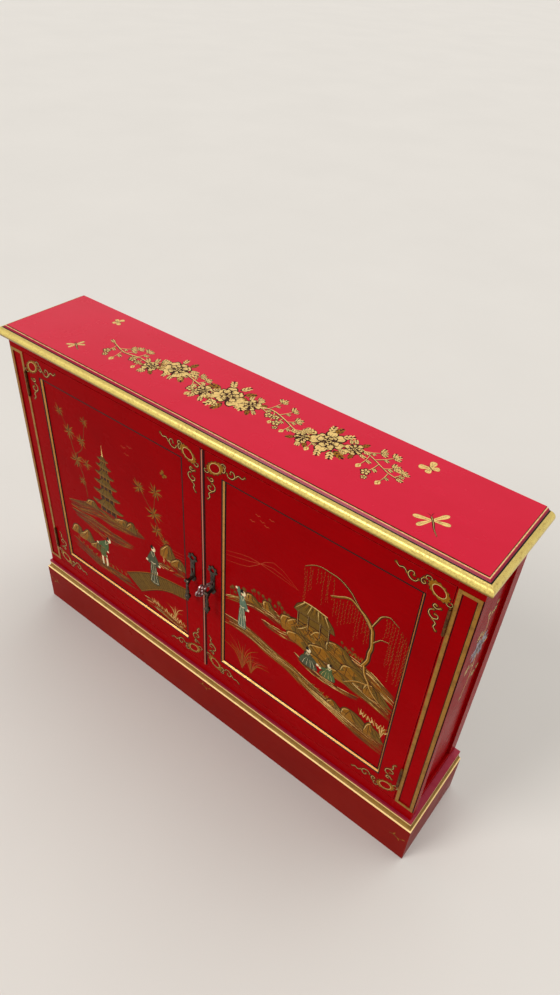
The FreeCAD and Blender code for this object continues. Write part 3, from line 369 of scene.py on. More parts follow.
def lacquer(name, red, deep, gloss, shine):
    """Red lacquer, paler along its arrises as wear and a painted highlight."""
    finishes = bpy.context.scene.cabinet_finishes
    material, tree, shader = new_material(name)
    place = tree.place()
    inputs = {"Vector": place, "Red": linear(red), "Deep": linear(deep), "Gloss": gloss}
    skin = tree.group("Lacquer skin", inputs)
    dress(tree, shader, skin, strength=0.12, depth=0.0004)
    # Wear and a painted highlight along the arrises.
    rubbed = tree.group("Rubbed edge", {"Vector": place, "Width": ARRIS_MARK_WIDTH})["Mask"]
    worn = tree.math("MULTIPLY", rubbed, ARRIS_MARK_SHARE)
    tree.put(shader["Base Color"], tree.mix(worn, skin["Colour"], linear(finishes.rubbed)))
    shader["Specular IOR Level"].default_value = shine
    return material, tree, shader


def overpaint(tree, shader, mask, shade):
    """Lays a colour over what the shader shows, where the mask is 1."""
    below = shader["Base Color"].links[0].from_socket
    tree.put(shader["Base Color"], tree.mix(mask, below, shade))


def paint_line(tree, shader, value, limits, shade):
    """Lays a colour where a value lies between two limits in millimetres."""
    low, high = limits
    line = tree.group("Painted line", {"Value": value, "From": low * MM, "To": high * MM})
    overpaint(tree, shader, line["Mask"], shade)


def gilding(name, gold, shade, scale, gloss, metal=0.45):
    """Gold leaf or gold paint over wood."""
    material, tree, shader = new_material(name)
    inputs = {
        "Vector": tree.place(), "Gold": linear(gold), "Shade": linear(shade), "Scale": scale, "Gloss": gloss
    }
    dress(tree, shader, tree.group("Gold leaf", inputs), strength=0.25, depth=0.0003)
    shader["Metallic"].default_value = metal
    return material, tree, shader


def metal(name, bright, dark_share, scale, gloss):
    """Patinated metal."""
    material, tree, shader = new_material(name)
    dark = [c * dark_share for c in bright]
    inputs = {
        "Vector": tree.place(), "Metal": linear(bright), "Dark": linear(dark), "Scale": scale, "Gloss": gloss
    }
    dress(tree, shader, tree.group("Patina", inputs), strength=0.3, depth=0.0003)
    shader["Metallic"].default_value = 0.85
    return material


def wear(nodes, material):
    """Gives CAD nodes a material."""
    for name in nodes:
        NODES[name].material_slots[0].material = material


def soften(nodes, width):
    """Rounds the arrises of CAD nodes with a small bevel."""
    for name in nodes:
        piece = NODES[name]
        weld = piece.modifiers.new("Weld", "WELD")
        weld.merge_threshold = 1e-6
        joined = piece.modifiers.new("Joined faces", "DECIMATE")
        joined.decimate_type = "DISSOLVE"
        joined.angle_limit = math.radians(1)
        bevel = piece.modifiers.new("Arris", "BEVEL")
        bevel.width = width
        bevel.segments = 2
        bevel.limit_method = "ANGLE"
        bevel.angle_limit = math.radians(50)
        bevel.use_clamp_overlap = True
        normals = piece.modifiers.new("Flat faces", "WEIGHTED_NORMAL")
        normals.keep_sharp = False


# Painted shapes, in millimetres

SUNK = 0.012
LINE_RISE = 0.16
PATCH_RISE = 0.10
FLAT_TOP_WIDTH = 4.0
FINEST_LINE = 0.12
RIM_WIDTH = 0.9

# Shares of a brush line over which it swells and thins, and widths of its ends as shares of its own
SWELLING = 0.4
THINNING = 0.5
EVEN = (1.0, 1.0)
BLUNT = (0.8, 0.8)


def curve_through(points, steps, closed=False):
    """Points of a smooth curve through the given ones, with that many steps between each two."""
    count = len(points)
    if count < 3:
        return list(points)

    def neighbour(i):
        return points[i % count] if closed else points[min(max(i, 0), count - 1)]

    line = []
    for i in range(count if closed else count - 1):
        a, b, c, d = (neighbour(i + k) for k in (-1, 0, 1, 2))
        for k in range(steps):
            t = k / steps
            line.append(tuple(
                b[x] + t / 2 * (c[x] - a[x] + t * (2 * a[x] - 5 * b[x] + 4 * c[x] - d[x]
                                                   + t * (3 * b[x] - a[x] - 3 * c[x] + d[x])))
                for x in (0, 1)
            ))
    if not closed:
        line.append(points[-1])
    return line


def placed(points, at, turn=0.0, size=1.0, mirror=1):
    """Points of a motif, grown, turned and moved to their place; mirror -1 turns it left for right."""
    c, s = math.cos(turn) * size, math.sin(turn) * size
    return [(at[0] + mirror * (c * u - s * v), at[1] + s * u + c * v) for u, v in points]


def both_halves(half):
    """A closed outline from its left half, which runs along the axis."""
    return half + [(u, -v) for u, v in reversed(half) if v]


def all_round(count, first=0.0):
    """That many directions, evenly round a circle."""
    return [first + 2 * math.pi * k / count for k in range(count)]


def oval(at, wide, high, turn=0.0, count=10):
    """A closed outline round an oval."""
    return placed([(wide * math.cos(a), high * math.sin(a)) for a in all_round(count)], at, turn)


def beyond(at, turn, distance, aside=0.0):
    """The point at a distance from another in a direction, and a little to the left of it."""
    return placed([(distance, aside)], at, turn)[0]


def along(line, step):
    """Places at even steps along a line, each with the line's direction there."""
    left = step
    for a, b in zip(line, line[1:]):
        length = math.dist(a, b)
        while left <= length:
            yield between(a, b, left / length), math.atan2(b[1] - a[1], b[0] - a[0])
            left += step
        left -= length


def between(first, second, share):
    """The point at a share of the way from one point to another."""
    return tuple(a + (b - a) * share for a, b in zip(first, second))


def evenly(path, count):
    """That many points at even steps along a smooth curve through the given ones."""
    line = curve_through(path, 6)
    reach = [0.0]
    for a, b in zip(line, line[1:]):
        reach.append(reach[-1] + math.dist(a, b))
    spots = []
    for k in range(count):
        goal = reach[-1] * k / (count - 1)
        i = max(j for j in range(len(line) - 1) if reach[j] <= goal)
        spots.append(between(line[i], line[i + 1], (goal - reach[i]) / (reach[i + 1] - reach[i])))
    return spots


class Face:
    """A flat face of the cabinet: a point on it, the two directions along it and the body it moves with.

    Its relief is how high paint stands on it, as a share of the usual height.
    """

    def __init__(self, body, origin, across, up, relief=1.0):
        self.body = body
        self.origin = Vector(origin)
        self.across = Vector(across)
        self.up = Vector(up)
        self.out = self.across.cross(self.up) * relief

    def at(self, point, rise):
        return (self.origin + self.across * point[0] + self.up * point[1] + self.out * rise) * MM


def front(body, depth):
    """A face that looks to the front, at a depth in the cabinet."""
    return Face(body, (0, depth, 0), (1, 0, 0), (0, 0, 1))


def inside(body, depth):
    """A face that looks to the back; along it, left and right change places."""
    return Face(body, (0, depth, 0), (-1, 0, 0), (0, 0, 1))


class Painting:
    """Raised gilt and colour work on one face, gathered by ink.

    Every shape is closed and sits a little in the face. A shape's level is where it lies above the face,
    and its rise is how far it stands up from there.
    """

    def __init__(self, face, seed):
        self.face = face
        self.chance = random.Random(seed)
        self.coats = {}

    def add(self, ink, points, faces):
        corners, loops = self.coats.setdefault(ink, ([], []))
        start = len(corners)
        corners.extend(self.face.at(point, rise) for point, rise in points)
        loops.extend([start + i for i in loop] for loop in faces)

    def ribbon(self, ink, left, right, rise=LINE_RISE, level=0.0, closed=False):
        """A raised strip between two lines: a ridge if it is narrow, flat on top if it is wide."""
        wide = max(map(math.dist, left, right)) > FLAT_TOP_WIDTH
        shares = (0.15, 0.85) if wide else (0.5,)
        size = len(shares) + 2
        points = []
        for a, b in zip(left, right):
            points.append((a, level - SUNK))
            points.extend((between(a, b, share), level + rise) for share in shares)
            points.append((b, level - SUNK))
        count = len(left)
        faces = []
        for i in range(count if closed else count - 1):
            here, there = i * size, (i + 1) % count * size
            for k in range(size - 1):
                faces.append((here + k, here + k + 1, there + k + 1, there + k))
            faces.append((here, there, there + size - 1, here + size - 1))
        if not closed:
            last = (count - 1) * size
            faces.append((0, *range(size - 1, 0, -1)))
            faces.append(tuple(range(last, last + size)))
        self.add(ink, points, faces)

    def stroke(self, ink, path, width, rise=LINE_RISE, level=0.0, ends=(0.5, 0.25), steps=3, closed=False):
        """A brush line along a path; ends are its widths at the start and the end, as shares."""
        line = curve_through(path, steps, closed)
        count = len(line)
        left, right = [], []
        for i, (u, v) in enumerate(line):
            if closed:
                before, after, share = line[i - 1], line[(i + 1) % count], 1.0
            else:
                before, after = line[max(i - 1, 0)], line[min(i + 1, count - 1)]
                t = i / (count - 1)
                grow = ends[0] + (1 - ends[0]) * min(1.0, t / SWELLING)
                share = grow * (ends[1] + (1 - ends[1]) * min(1.0, (1 - t) / THINNING))
            length = math.dist(before, after) or 1.0
            half = max(width * share, FINEST_LINE) / 2 / length
            side = ((before[1] - after[1]) * half, (after[0] - before[0]) * half)
            left.append((u + side[0], v + side[1]))
            right.append((u - side[0], v - side[1]))
        self.ribbon(ink, left, right, rise, level, closed)

    def patch(self, ink, outline, rise=PATCH_RISE, level=0.0, steps=2):
        """A raised field inside an outline, with a rounded rim."""
        rim = curve_through(outline, steps, True) if steps > 1 else list(outline)
        area = sum(a[0] * b[1] - b[0] * a[1] for a, b in zip(rim, rim[1:] + rim[:1]))
        if area < 0:
            rim.reverse()
        count = len(rim)
        middle = (sum(u for u, v in rim) / count, sum(v for u, v in rim) / count)
        reach = sum(math.dist(point, middle) for point in rim) / count
        shoulder = min(0.35, RIM_WIDTH / reach)
        points = [(point, level - SUNK) for point in rim]
        points += [(between(point, middle, shoulder), level + rise * 0.9) for point in rim]
        points.append((middle, level + rise))
        faces = [tuple(range(count - 1, -1, -1))]
        for i in range(count):
            j = (i + 1) % count
            faces.append((i, j, count + j, count + i))
            faces.append((count + i, count + j, 2 * count))
        self.add(ink, points, faces)

    def dab(self, ink, at, radius, flat=1.0, turn=0.0, rise=PATCH_RISE, level=0.0, count=12):
        """A touch of the brush: a small raised oval."""
        self.patch(ink, oval(at, radius, radius * flat, turn, count), rise, level, steps=1)

    def lay(self, name, slot="gilding", **materials):
        """Makes a piece of each ink and hangs it on the face's body; an ink may have its own material."""
        for ink, (corners, loops) in self.coats.items():
            mesh = bpy.data.meshes.new(f"{name}_{ink}")
            mesh.from_pydata(corners, [], loops)
            mesh.shade_smooth()
            mesh.set_sharp_from_angle(angle=math.radians(40))
            mesh.materials.append(materials.get(ink) or ink_material(ink))
            piece = bpy.data.objects.new(f"{name}_{ink}", mesh)
            bpy.context.scene.collection.objects.link(piece)
            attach(piece, self.face.body)


GILT_INKS = ("gold", "ochre", "silver")
INK_SHADE = 0.68


def ink_material(ink):
    """Brushed paint of one ink, lighter and darker as the brush left it."""
    name = f"{ink}_ink"
    if name in bpy.data.materials:
        return bpy.data.materials[name]
    tone = getattr(bpy.context.scene.cabinet_inks, ink)
    shade = [c * INK_SHADE for c in tone]
    shine = 0.35 if ink in GILT_INKS else 0.0
    material, _, shader = gilding(name, tone, shade, scale=130.0, gloss=0.34, metal=shine)
    shader["Specular IOR Level"].default_value = 0.06
    return material


# Flowers and insects

PETAL = both_halves([(0.0, 0.12), (0.35, 0.40), (0.70, 0.50), (0.96, 0.30), (0.90, 0.0)])
LEAF = both_halves([(0.0, 0.05), (0.28, 0.45), (0.55, 0.50), (0.82, 0.22), (1.0, 0.0)])
WING = both_halves([(0.0, 0.10), (0.45, 0.36), (0.80, 0.50), (0.97, 0.26), (1.0, 0.0)])
EDGE = 1.2
UNDERCOAT = 0.05


def dark_ground(art, motif, at, turn, size, wide):
    """The dark shape under a leaf or wing, which shows as an edge round it."""
    rim = 2 * EDGE / size
    dark = [((u - 0.5) * (1 + rim) + 0.5, v * (wide + rim)) for u, v in motif]
    art.patch("umber", placed(dark, at, turn, size), UNDERCOAT, steps=1)


def shape(art, motif, at, turn, size, wide, field, rim="gold"):
    """A bud or wing: a dark ground, a field on it and a bright rim."""
    dark_ground(art, motif, at, turn, size, wide)
    outline = placed([(u, v * wide) for u, v in motif], at, turn, size)
    art.patch(field, outline)
    art.stroke(rim, outline, EDGE, 0.1, UNDERCOAT, closed=True, steps=2)


def leaf(art, root, length, turn, width=0.55, field="gold"):
    """A leaf growing from its root: three pairs of lobes on a dark ground, which also shows as ribs."""
    dark_ground(art, LEAF, root, turn, length, width)
    for reach, share in ((0.27, 0.20), (0.54, 0.21), (0.80, 0.16)):
        for side in (1, -1):
            middle = placed([(reach, side * width * 0.25)], root, turn, length)[0]
            art.dab(field, middle, length * share, 0.42, turn + side * 0.6, 0.06, UNDERCOAT, 9)


def petals(art, at, radius, turn, count, level, field):
    """One ring of petals, each bright in a dark edge of even width, with dark creases."""
    wide = 2.6 / count + 0.34
    for direction in all_round(count, turn):
        angle = direction + art.chance.uniform(-0.2, 0.2)
        size = radius * art.chance.uniform(0.8, 1.12)
        art.patch("umber", placed([(u, v * wide) for u, v in PETAL], at, angle, size), 0.06, level)
        inner = max(0.5, 1 - 4.4 * EDGE / (wide * size))
        bright = [(0.32 + u * 0.58, v * wide * inner) for u, v in PETAL]
        art.patch(field, placed(bright, at, angle, size), 0.05, level + UNDERCOAT)
        for lean in (-0.18, 0.0, 0.18):
            crease = placed([(0.30, lean * 0.3), (0.52, lean * 0.8), (0.72, lean)], at, angle, size)
            art.stroke("umber", crease, EDGE, 0.04, level + 0.09, ends=(1.0, 0.2))


def peony(art, at, radius, turn, field="gold"):
    """A full blossom: three rings of petals round a heart of stamens."""
    for ring, (count, share) in enumerate(((7, 1.0), (6, 0.68), (4, 0.38))):
        petals(art, at, radius * share, turn + 0.35 * ring, count, ring * 0.08, field)
    art.dab("umber", at, radius * 0.1, level=0.32)
    for way in all_round(5, turn):
        art.dab(field, beyond(at, way, radius * 0.1), radius * 0.05, level=0.36, count=8)


def small_blossom(art, at, radius, turn):
    """A five-petalled blossom with a dark eye."""
    for ink, share, level in (("umber", 0.56, 0.0), ("gold", 0.36, UNDERCOAT)):
        for way in all_round(5, turn):
            art.dab(ink, beyond(at, way, radius * 0.58), radius * share, 0.85, way, level=level)
    art.dab("umber", at, radius * 0.3, level=0.12)
    art.dab("gold", at, radius * 0.13, level=0.18, count=8)


def bud(art, at, size, turn):
    """A closed bud in its two sepals."""
    for lean in (-0.6, 0.6):
        sepal = placed([(0.0, 0.0), (0.5, 0.1 * lean), (0.8, 0.5 * lean)], at, turn, size)
        art.stroke("ochre", sepal, size * 0.25, ends=(0.6, 0.1))
    shape(art, LEAF, at, turn, size, 0.7, "gold")


def twig(art, path, width):
    """A woody stem: gold, with its shaded side in umber."""
    lower = [(u + width * 0.25, v - width * 0.5) for u, v in path]
    art.stroke("umber", lower, width * 1.3, 0.1, ends=(0.8, 0.5))
    art.stroke("gold", path, width, ends=(0.8, 0.5))


def heading(path):
    """The direction in which a path ends."""
    (a, b), (c, d) = path[-2], path[-1]
    return math.atan2(d - b, c - a)


def sprig(art, root, turn, side, length, ending):
    """A side shoot that curls away from the stem and ends in blossoms, a bud or leaves."""
    curl = side * art.chance.uniform(0.3, 0.7)
    path = placed([(0.0, 0.0), (0.5, 0.12 * curl), (1.0, 0.45 * curl)], root, turn, length)
    twig(art, path, 1.8)
    tip, way = path[-1], heading(path)
    if ending == "blossom":
        small_blossom(art, tip, art.chance.uniform(7.0, 9.5), way)
        small_blossom(art, beyond(tip, way, 11.0, -side * 9.0), art.chance.uniform(5.0, 7.0), way)
    elif ending == "bud":
        bud(art, tip, art.chance.uniform(9.0, 12.0), way)
    else:
        for lean in (-0.9, 0.0, 0.9):
            leaf(art, tip, art.chance.uniform(11.0, 15.0), way + lean)
    leaf(art, path[1], art.chance.uniform(9.0, 13.0), turn - side * 0.9)


def flower_spray(art, stem, blossoms, step):
    """A winding stem with full blossoms among leaves, and shoots on alternate sides."""
    twig(art, stem, 2.8)
    endings = ("blossom", "leaves", "bud", "leaves")
    for k, (spot, way) in enumerate(along(curve_through(stem, 6), step)):
        side = 1 if k % 2 else -1
        if all(math.dist(spot, (u, v)) > radius * 0.7 for u, v, radius in blossoms):
            lean = way + side * art.chance.uniform(0.6, 1.2)
            sprig(art, spot, lean, side, art.chance.uniform(14.0, 34.0), endings[k % 4])
    for u, v, radius in blossoms:
        first = art.chance.uniform(0.0, 1.0)
        for k, direction in enumerate(all_round(9, first)):
            angle = direction + art.chance.uniform(-0.3, 0.3)
            root = beyond((u, v), angle, radius * 0.8)
            length = art.chance.uniform(0.55, 0.85) * radius
            field = "ochre" if k % 3 == 1 else "gold"
            leaf(art, root, length, angle + art.chance.uniform(-0.5, 0.5), 0.5, field)
        peony(art, (u, v), radius, first)
    leaf(art, stem[-1], 14.0, heading(stem))
    leaf(art, stem[0], 14.0, heading(stem[1::-1]))


def dragonfly(art, at, length, turn):
    """A dragonfly with four slender wings."""
    def local(points):
        return placed(points, at, turn, length)

    for lean, reach in ((1.15, 0.62), (1.95, 0.66)):
        for side in (1, -1):
            root, way = local([(0.18, 0.0)])[0], turn + side * lean
            shape(art, WING, root, way, length * reach, 0.26, "gold")
            vein = placed([(0.15, 0.0), (0.9, 0.04)], root, way, length * reach)
            art.stroke("umber", vein, EDGE, 0.06, PATCH_RISE)
    body = [(0.0, 0.0), (0.3, 0.01), (0.65, -0.02), (1.0, 0.02)]
    art.stroke("umber", local(body), 4.0, 0.1, PATCH_RISE, ends=(1.0, 0.3))
    art.stroke("gold", local(body), 2.0, 0.1, 0.14, ends=(1.0, 0.3))
    for side in (1, -1):
        art.stroke("umber", local([(0.0, 0.0), (-0.12, side * 0.05), (-0.2, side * 0.14)]), 1.0)


def butterfly(art, at, width, turn, field="gold"):
    """A butterfly seen from above, its fore wings longer than its hind wings."""
    for lean, reach, broad in ((0.85, 0.58, 0.55), (2.1, 0.40, 0.7)):
        for side in (1, -1):
            way = turn + side * lean
            shape(art, WING, at, way, width * reach, broad, field, field)
            for drift in (-0.14, 0.14):
                vein = placed([(0.2, 0.0), (0.85, drift)], at, way, width * reach)
                art.stroke("umber", vein, EDGE, 0.06, PATCH_RISE)
    body = placed([(0.18, 0.0), (0.0, 0.0), (-0.26, 0.0)], at, turn, width)
    art.stroke("umber", body, 2.6, 0.1, PATCH_RISE)
    for side in (1, -1):
        feeler = placed([(0.16, 0.0), (0.28, side * 0.05), (0.36, side * 0.14)], at, turn, width)
        art.stroke("umber", feeler, 0.9)


# Landscape

BANK_INKS = ("ochre", "ochre", "olive", "umber", "gold")
FAR_BANK_INKS = ("olive", "olive", "umber", "earth", "ochre")
LOW_BANK_INKS = ("earth", "umber", "olive", "ochre")
GRASS_INKS = ("ochre", "olive")
BRIGHT_GRASS_INKS = ("ochre", "gold")
REED_INKS = ("ochre", "earth", "rose")
STAR_INKS = ("ochre", "olive", "ochre", "umber")
THATCH_INKS = ("gold", "umber", "ochre", "umber")
STATIONS = 36


def ground(art, brow, foot, strokes, inks=BANK_INKS):
    """A bank of earth between its brow and its foot: a ragged brown wash with brush lines along it."""
    upper, lower = evenly(brow, STATIONS), evenly(foot, STATIONS)

    def sweep(ink, reach, width, rise, level):
        start = art.chance.randrange(0, STATIONS - 6)
        stop = min(STATIONS - 1, start + art.chance.randrange(*reach))
        depth, drift = art.chance.uniform(0.0, 1.0) ** 1.2, art.chance.uniform(-0.25, 0.3)
        path = []
        for share in (0.0, 0.5, 1.0):
            i = round(start + (stop - start) * share)
            path.append(between(upper[i], lower[i], max(0.02, depth + drift * share)))
        art.stroke(ink, path, width, rise, level, ends=(0.3, 0.1))

    vary = art.chance.uniform
    for _ in range(strokes // 2):
        sweep("earth", (7, 15), vary(3.0, 6.5), vary(0.02, 0.04), 0.0)
    for _ in range(strokes):
        sweep(art.chance.choice(inks), (4, 11), vary(1.2, 2.3), vary(0.04, 0.1), 0.03)
    for start in range(0, STATIONS - 4, 8):
        ridge = upper[start:start + art.chance.randrange(5, 9):2]
        art.stroke("umber", [(u, v - 2.0) for u, v in ridge], 2.2, 0.08, 0.03, ends=(0.4, 0.3))
        art.stroke(inks[-1], ridge, 1.9, 0.1, 0.05, ends=(0.4, 0.3))


LIT = [(-0.50, 0.0), (-0.46, 0.36), (-0.30, 0.72), (-0.06, 0.96), (0.02, 0.62), (-0.10, 0.30), (-0.06, 0.0)]
SHADED_SIDE = [(0.14, 0.92), (0.30, 0.60), (0.46, 0.30), (0.55, 0.0)]


def rock(art, foot, width, height, lean=0.0):
    """A craggy peak: a lit face, a shaded face and streaks running down both from the top."""
    def craggy(points):
        spots = []
        for u, v in points:
            aside, up = art.chance.uniform(-0.06, 0.06), art.chance.uniform(-0.1, 0.1)
            spots.append((foot[0] + (u + lean * v + aside) * width, foot[1] + (v + up) * height))
        return spots

    lit, side = craggy(LIT), craggy(SHADED_SIDE)
    art.patch("ochre", lit, 0.1, 0.04)
    art.patch("olive", lit[:2:-1] + side, 0.1, 0.04)
    for low, ink in ((-0.34, "umber"), (-0.16, "ochre"), (0.02, "umber"), (0.2, "ochre"), (0.36, "umber")):
        streak = craggy([(low * 0.25, 0.86), (low * 0.6, 0.46), (low, 0.04)])
        art.stroke(ink, streak, 2.2, 0.05, 0.13, ends=(0.3, 0.2))
    art.stroke("umber", lit[:4] + side, 2.8, 0.06, 0.12, ends=(0.4, 0.4))
    art.stroke("gold", [(u + 2.4, v - 2.6) for u, v in lit[1:4]], 1.7, 0.06, 0.14, ends=(0.2, 0.4))


def shrubs(art, line, step, height):
    """Round-headed bushes along a line."""
    for spot, _ in along(curve_through(line, 6), step):
        tall = height * art.chance.uniform(0.3, 1.25)
        head = height * art.chance.uniform(0.2, 0.34)
        top = (spot[0] + art.chance.uniform(-4.0, 4.0), spot[1] + tall)
        art.stroke("earth", [spot, top], 1.4, 0.06, ends=(1.0, 0.6))
        art.dab("earth", top, head, 1.2, rise=0.06)
        art.dab("olive", (top[0] - 0.8, top[1] + 0.8), head * 0.55, 1.3, level=0.04)


def star_leaves(art, at, size, count):
    """A tuft of pointed leaves round one point."""
    for k, direction in enumerate(all_round(count)):
        turn = direction + art.chance.uniform(-0.25, 0.25)
        path = placed([(0.1, 0.0), (0.5, 0.05), (1.0, -0.03)], at, turn, size * art.chance.uniform(0.65, 1.0))
        art.stroke(STAR_INKS[k % len(STAR_INKS)], path, max(2.0, size * 0.14), ends=(0.6, 0.1))


def tufts(art, line, step, height, inks=GRASS_INKS):
    """Small upright grasses and shrubs along a line."""
    for spot, _ in along(curve_through(line, 6), step):
        for lean in (-0.5, 0.0, 0.5):
            tall = height * art.chance.uniform(0.5, 1.0)
            tip = (spot[0] + tall * (lean + art.chance.uniform(-0.2, 0.2)), spot[1] + tall)
            blade = [spot, between(spot, tip, 0.6), tip]
            art.stroke(art.chance.choice(inks), blade, 1.7, ends=(1.0, 0.2), steps=1)


def reeds(art, root, count, height, spread, inks=REED_INKS):
    """A clump of arching blades."""
    for k in range(count):
        lean = spread * (2 * k / (count - 1) - 1) + art.chance.uniform(-0.1, 0.1)
        tall = height * art.chance.uniform(0.6, 1.0)
        bend = (root[0] + lean * tall * 0.35, root[1] + tall * 0.6)
        tip = (root[0] + lean * tall, root[1] + tall * (1.0 - 0.3 * abs(lean)))
        art.stroke(inks[k % len(inks)], [root, bend, tip], 1.7, ends=(0.9, 0.15))


def bird(art, at, width):
    """A far bird: two wing strokes."""
    u, v = at
    for side in (1, -1):
        wing = [at, (u + side * width * 0.3, v + width * 0.2), (u + side * width * 0.5, v + width * 0.1)]
        art.stroke("rose", wing, 1.4, ends=(1.0, 0.3))


def far_line(art, path):
    """A thin line of far hills or water."""
    art.stroke("rose", path, 1.3, ends=(0.3, 0.3))


def trunk(art, path, width):
    """A gnarled trunk or branch: umber, with its lit side in gold."""
    line = evenly(path, 4 + round(sum(map(math.dist, path, path[1:])) / 18))
    wander = width * 0.3
    vary = art.chance.uniform
    line = [(u + vary(-wander, wander), v + vary(-wander, wander)) for u, v in line]
    art.stroke("umber", line, width * 1.6, 0.14, ends=(1.0, 0.35), steps=2)
    art.stroke("ochre", line, width * 1.0, 0.1, 0.08, ends=(1.0, 0.3), steps=2)
    lit = [(u - width * 0.2, v + width * 0.2) for u, v in line]
    art.stroke("gold", lit, width * 0.28, 0.08, 0.14, ends=(1.0, 0.3), steps=2)


def frond(art, root, length):
    """A hanging willow shoot with small leaves on alternate sides."""
    sway = art.chance.uniform(-0.06, 0.06)
    u, v = root
    path = [root, (u + sway * length, v - length * 0.5), (u + sway * length * 0.4, v - length)]
    art.stroke("earth", path, 0.8, ends=(1.0, 0.5))
    for k, (spot, _) in enumerate(along(curve_through(path, 6), 5.5)):
        side = 1 if k % 2 else -1
        tip = (spot[0] + side * 1.6, spot[1] - 3.2)
        art.stroke("rose" if k % 4 else "ochre", [spot, tip], 1.5, ends=(0.8, 0.3))


def stalk(art, path, width):
    """A thin far stem, brown with a touch of gilt."""
    art.stroke("earth", path, width, 0.08, ends=(1.0, 0.4))
    art.stroke("olive", [(u - 0.6, v) for u, v in path], width * 0.5, 0.06, 0.06, ends=(0.8, 0.2))


ROOF = [(-1.15, 0.40), (-0.85, 0.06), (0.0, -0.06), (0.85, 0.06), (1.15, 0.40), (0.62, 0.52), (0.38, 1.0),
        (-0.38, 1.0), (-0.62, 0.52)]


def pagoda(art, foot, width, height, tiers):
    """A tower of shrinking storeys, each a dark wall with gilt posts under a roof with upturned eaves."""
    storey = height * 0.84 / sum(1 - 0.1 * k for k in range(tiers))
    level = foot[1]
    for k in range(tiers):
        half = width / 2 * (1 - 0.78 * k / tiers)
        tall = storey * (1 - 0.1 * k)
        wall, eave = tall * 0.45, level + tall * 0.4
        box = [(foot[0] + u * half * 0.62, level + v * wall) for u, v in ((-1, 0), (1, 0), (1, 1), (-1, 1))]
        art.patch("umber", box, steps=1)
        for share in (-0.55, -0.2, 0.2, 0.55):
            post = foot[0] + share * half
            art.stroke("ochre", [(post, level), (post, level + wall)], 1.7, level=PATCH_RISE, ends=EVEN)
        roof = [(foot[0] + u * half, eave + v * tall * 0.6) for u, v in ROOF]
        art.patch("olive", roof, 0.16)
        art.stroke("umber", roof, 1.6, level=0.05, closed=True, steps=2)
        for share in (-0.36, -0.18, 0.0, 0.18, 0.36):
            ridge = (foot[0] + share * half, eave + tall * 0.55)
            gutter = (foot[0] + share * 2.4 * half, eave + tall * 0.04)
            art.stroke("umber", [ridge, gutter], 1.5, 0.08, 0.14, ends=EVEN)
        art.stroke("ochre", roof[:5], 2.0, 0.12, 0.12, ends=(0.5, 0.5))
        level += tall
    art.stroke("gold", [(foot[0], level - 4), (foot[0], foot[1] + height)], 2.4, ends=(1.0, 0.4))
    for k in range(3):
        art.dab("gold", (foot[0], level + 3 + 5 * k), 2.8 - 0.6 * k, rise=0.2)


def pavilion(art, corner, width, height):
    """An open hut on posts under a steep thatch, seen from its corner."""
    def spots(*points):
        return [(corner[0] + u * width, corner[1] + v * height) for u, v in points]

    art.patch("olive", spots((0.1, -0.05), (0.92, -0.1), (0.92, 0.5), (0.1, 0.55)), 0.06, steps=1)
    for u in (0.12, 0.38, 0.68, 0.9):
        art.stroke("umber", spots((u, 0.55), (u + 0.01, -0.05)), 4.4, level=0.05, ends=(1.0, 0.9))
        art.stroke("gold", spots((u - 0.01, 0.55), (u, -0.05)), 1.6, level=0.1, ends=(1.0, 0.9))
    for v in (0.1, 0.22):
        art.stroke("ochre", spots((0.1, v), (0.92, v - 0.06)), 1.8, level=0.1, ends=EVEN)
    thatch = spots((0.0, 0.55), (0.24, 1.0), (0.8, 0.92), (1.04, 0.42), (0.6, 0.5), (0.28, 0.48))
    art.patch("olive", thatch, 0.18)
    art.stroke("umber", thatch, 2.0, level=0.05, closed=True, steps=2)
    ridge, eaves, straws = spots((0.25, 0.98), (0.8, 0.9)), spots((0.02, 0.56), (1.0, 0.46)), 14
    for k in range(straws):
        top = between(*ridge, k / (straws - 1))
        low = between(*eaves, k / (straws - 1))
        straw = [top, between(top, low, art.chance.uniform(0.7, 1.0))]
        art.stroke(THATCH_INKS[k % len(THATCH_INKS)], straw, 1.7, level=0.16, ends=(1.0, 0.3))
    art.stroke("gold", spots((0.22, 1.0), (0.5, 1.0), (0.82, 0.93)), 2.4, level=0.16, ends=(0.7, 0.7))


def plank_bridge(art, near, far, planks):
    """A humped bridge of planks between a near and a far rail."""
    steps = 24
    nearer, farther = evenly(near, steps + 1), evenly(far, steps + 1)
    art.ribbon("olive", farther, nearer, 0.08)
    for k in range(planks + 1):
        i = round(k * steps / planks)
        art.stroke("umber", [nearer[i], farther[i]], 1.4, level=0.06, ends=EVEN)
    for rail in (near, far):
        art.stroke("umber", [(u, v - 2.0) for u, v in rail], 2.4, level=0.06, ends=BLUNT)
        art.stroke("ochre", rail, 2.2, level=0.1, ends=BLUNT)


# Figures, each drawn one unit tall with its feet at the origin; the faces stay plain

SKIRT = [
    (-0.08, 0.0), (-0.07, 0.28), (-0.045, 0.56), (0.045, 0.56), (0.065, 0.30), (0.10, 0.01), (0.01, -0.02),
]
BODICE = [(-0.045, 0.52), (-0.06, 0.70), (-0.04, 0.82), (0.04, 0.82), (0.06, 0.68), (0.045, 0.52)]
SLEEVE = [(0.035, 0.79), (0.09, 0.68), (0.125, 0.54), (0.07, 0.48), (0.04, 0.62)]
LAP = [(-0.38, 0.02), (-0.33, 0.34), (-0.16, 0.52), (0.08, 0.46), (0.28, 0.30), (0.40, 0.04), (0.08, -0.04)]


def clothe(art, outline, robe):
    """A piece of a robe with its outline."""
    art.patch(robe, outline, 0.18)
    art.stroke("umber", outline, 1.1, 0.1, 0.08, closed=True, steps=2)


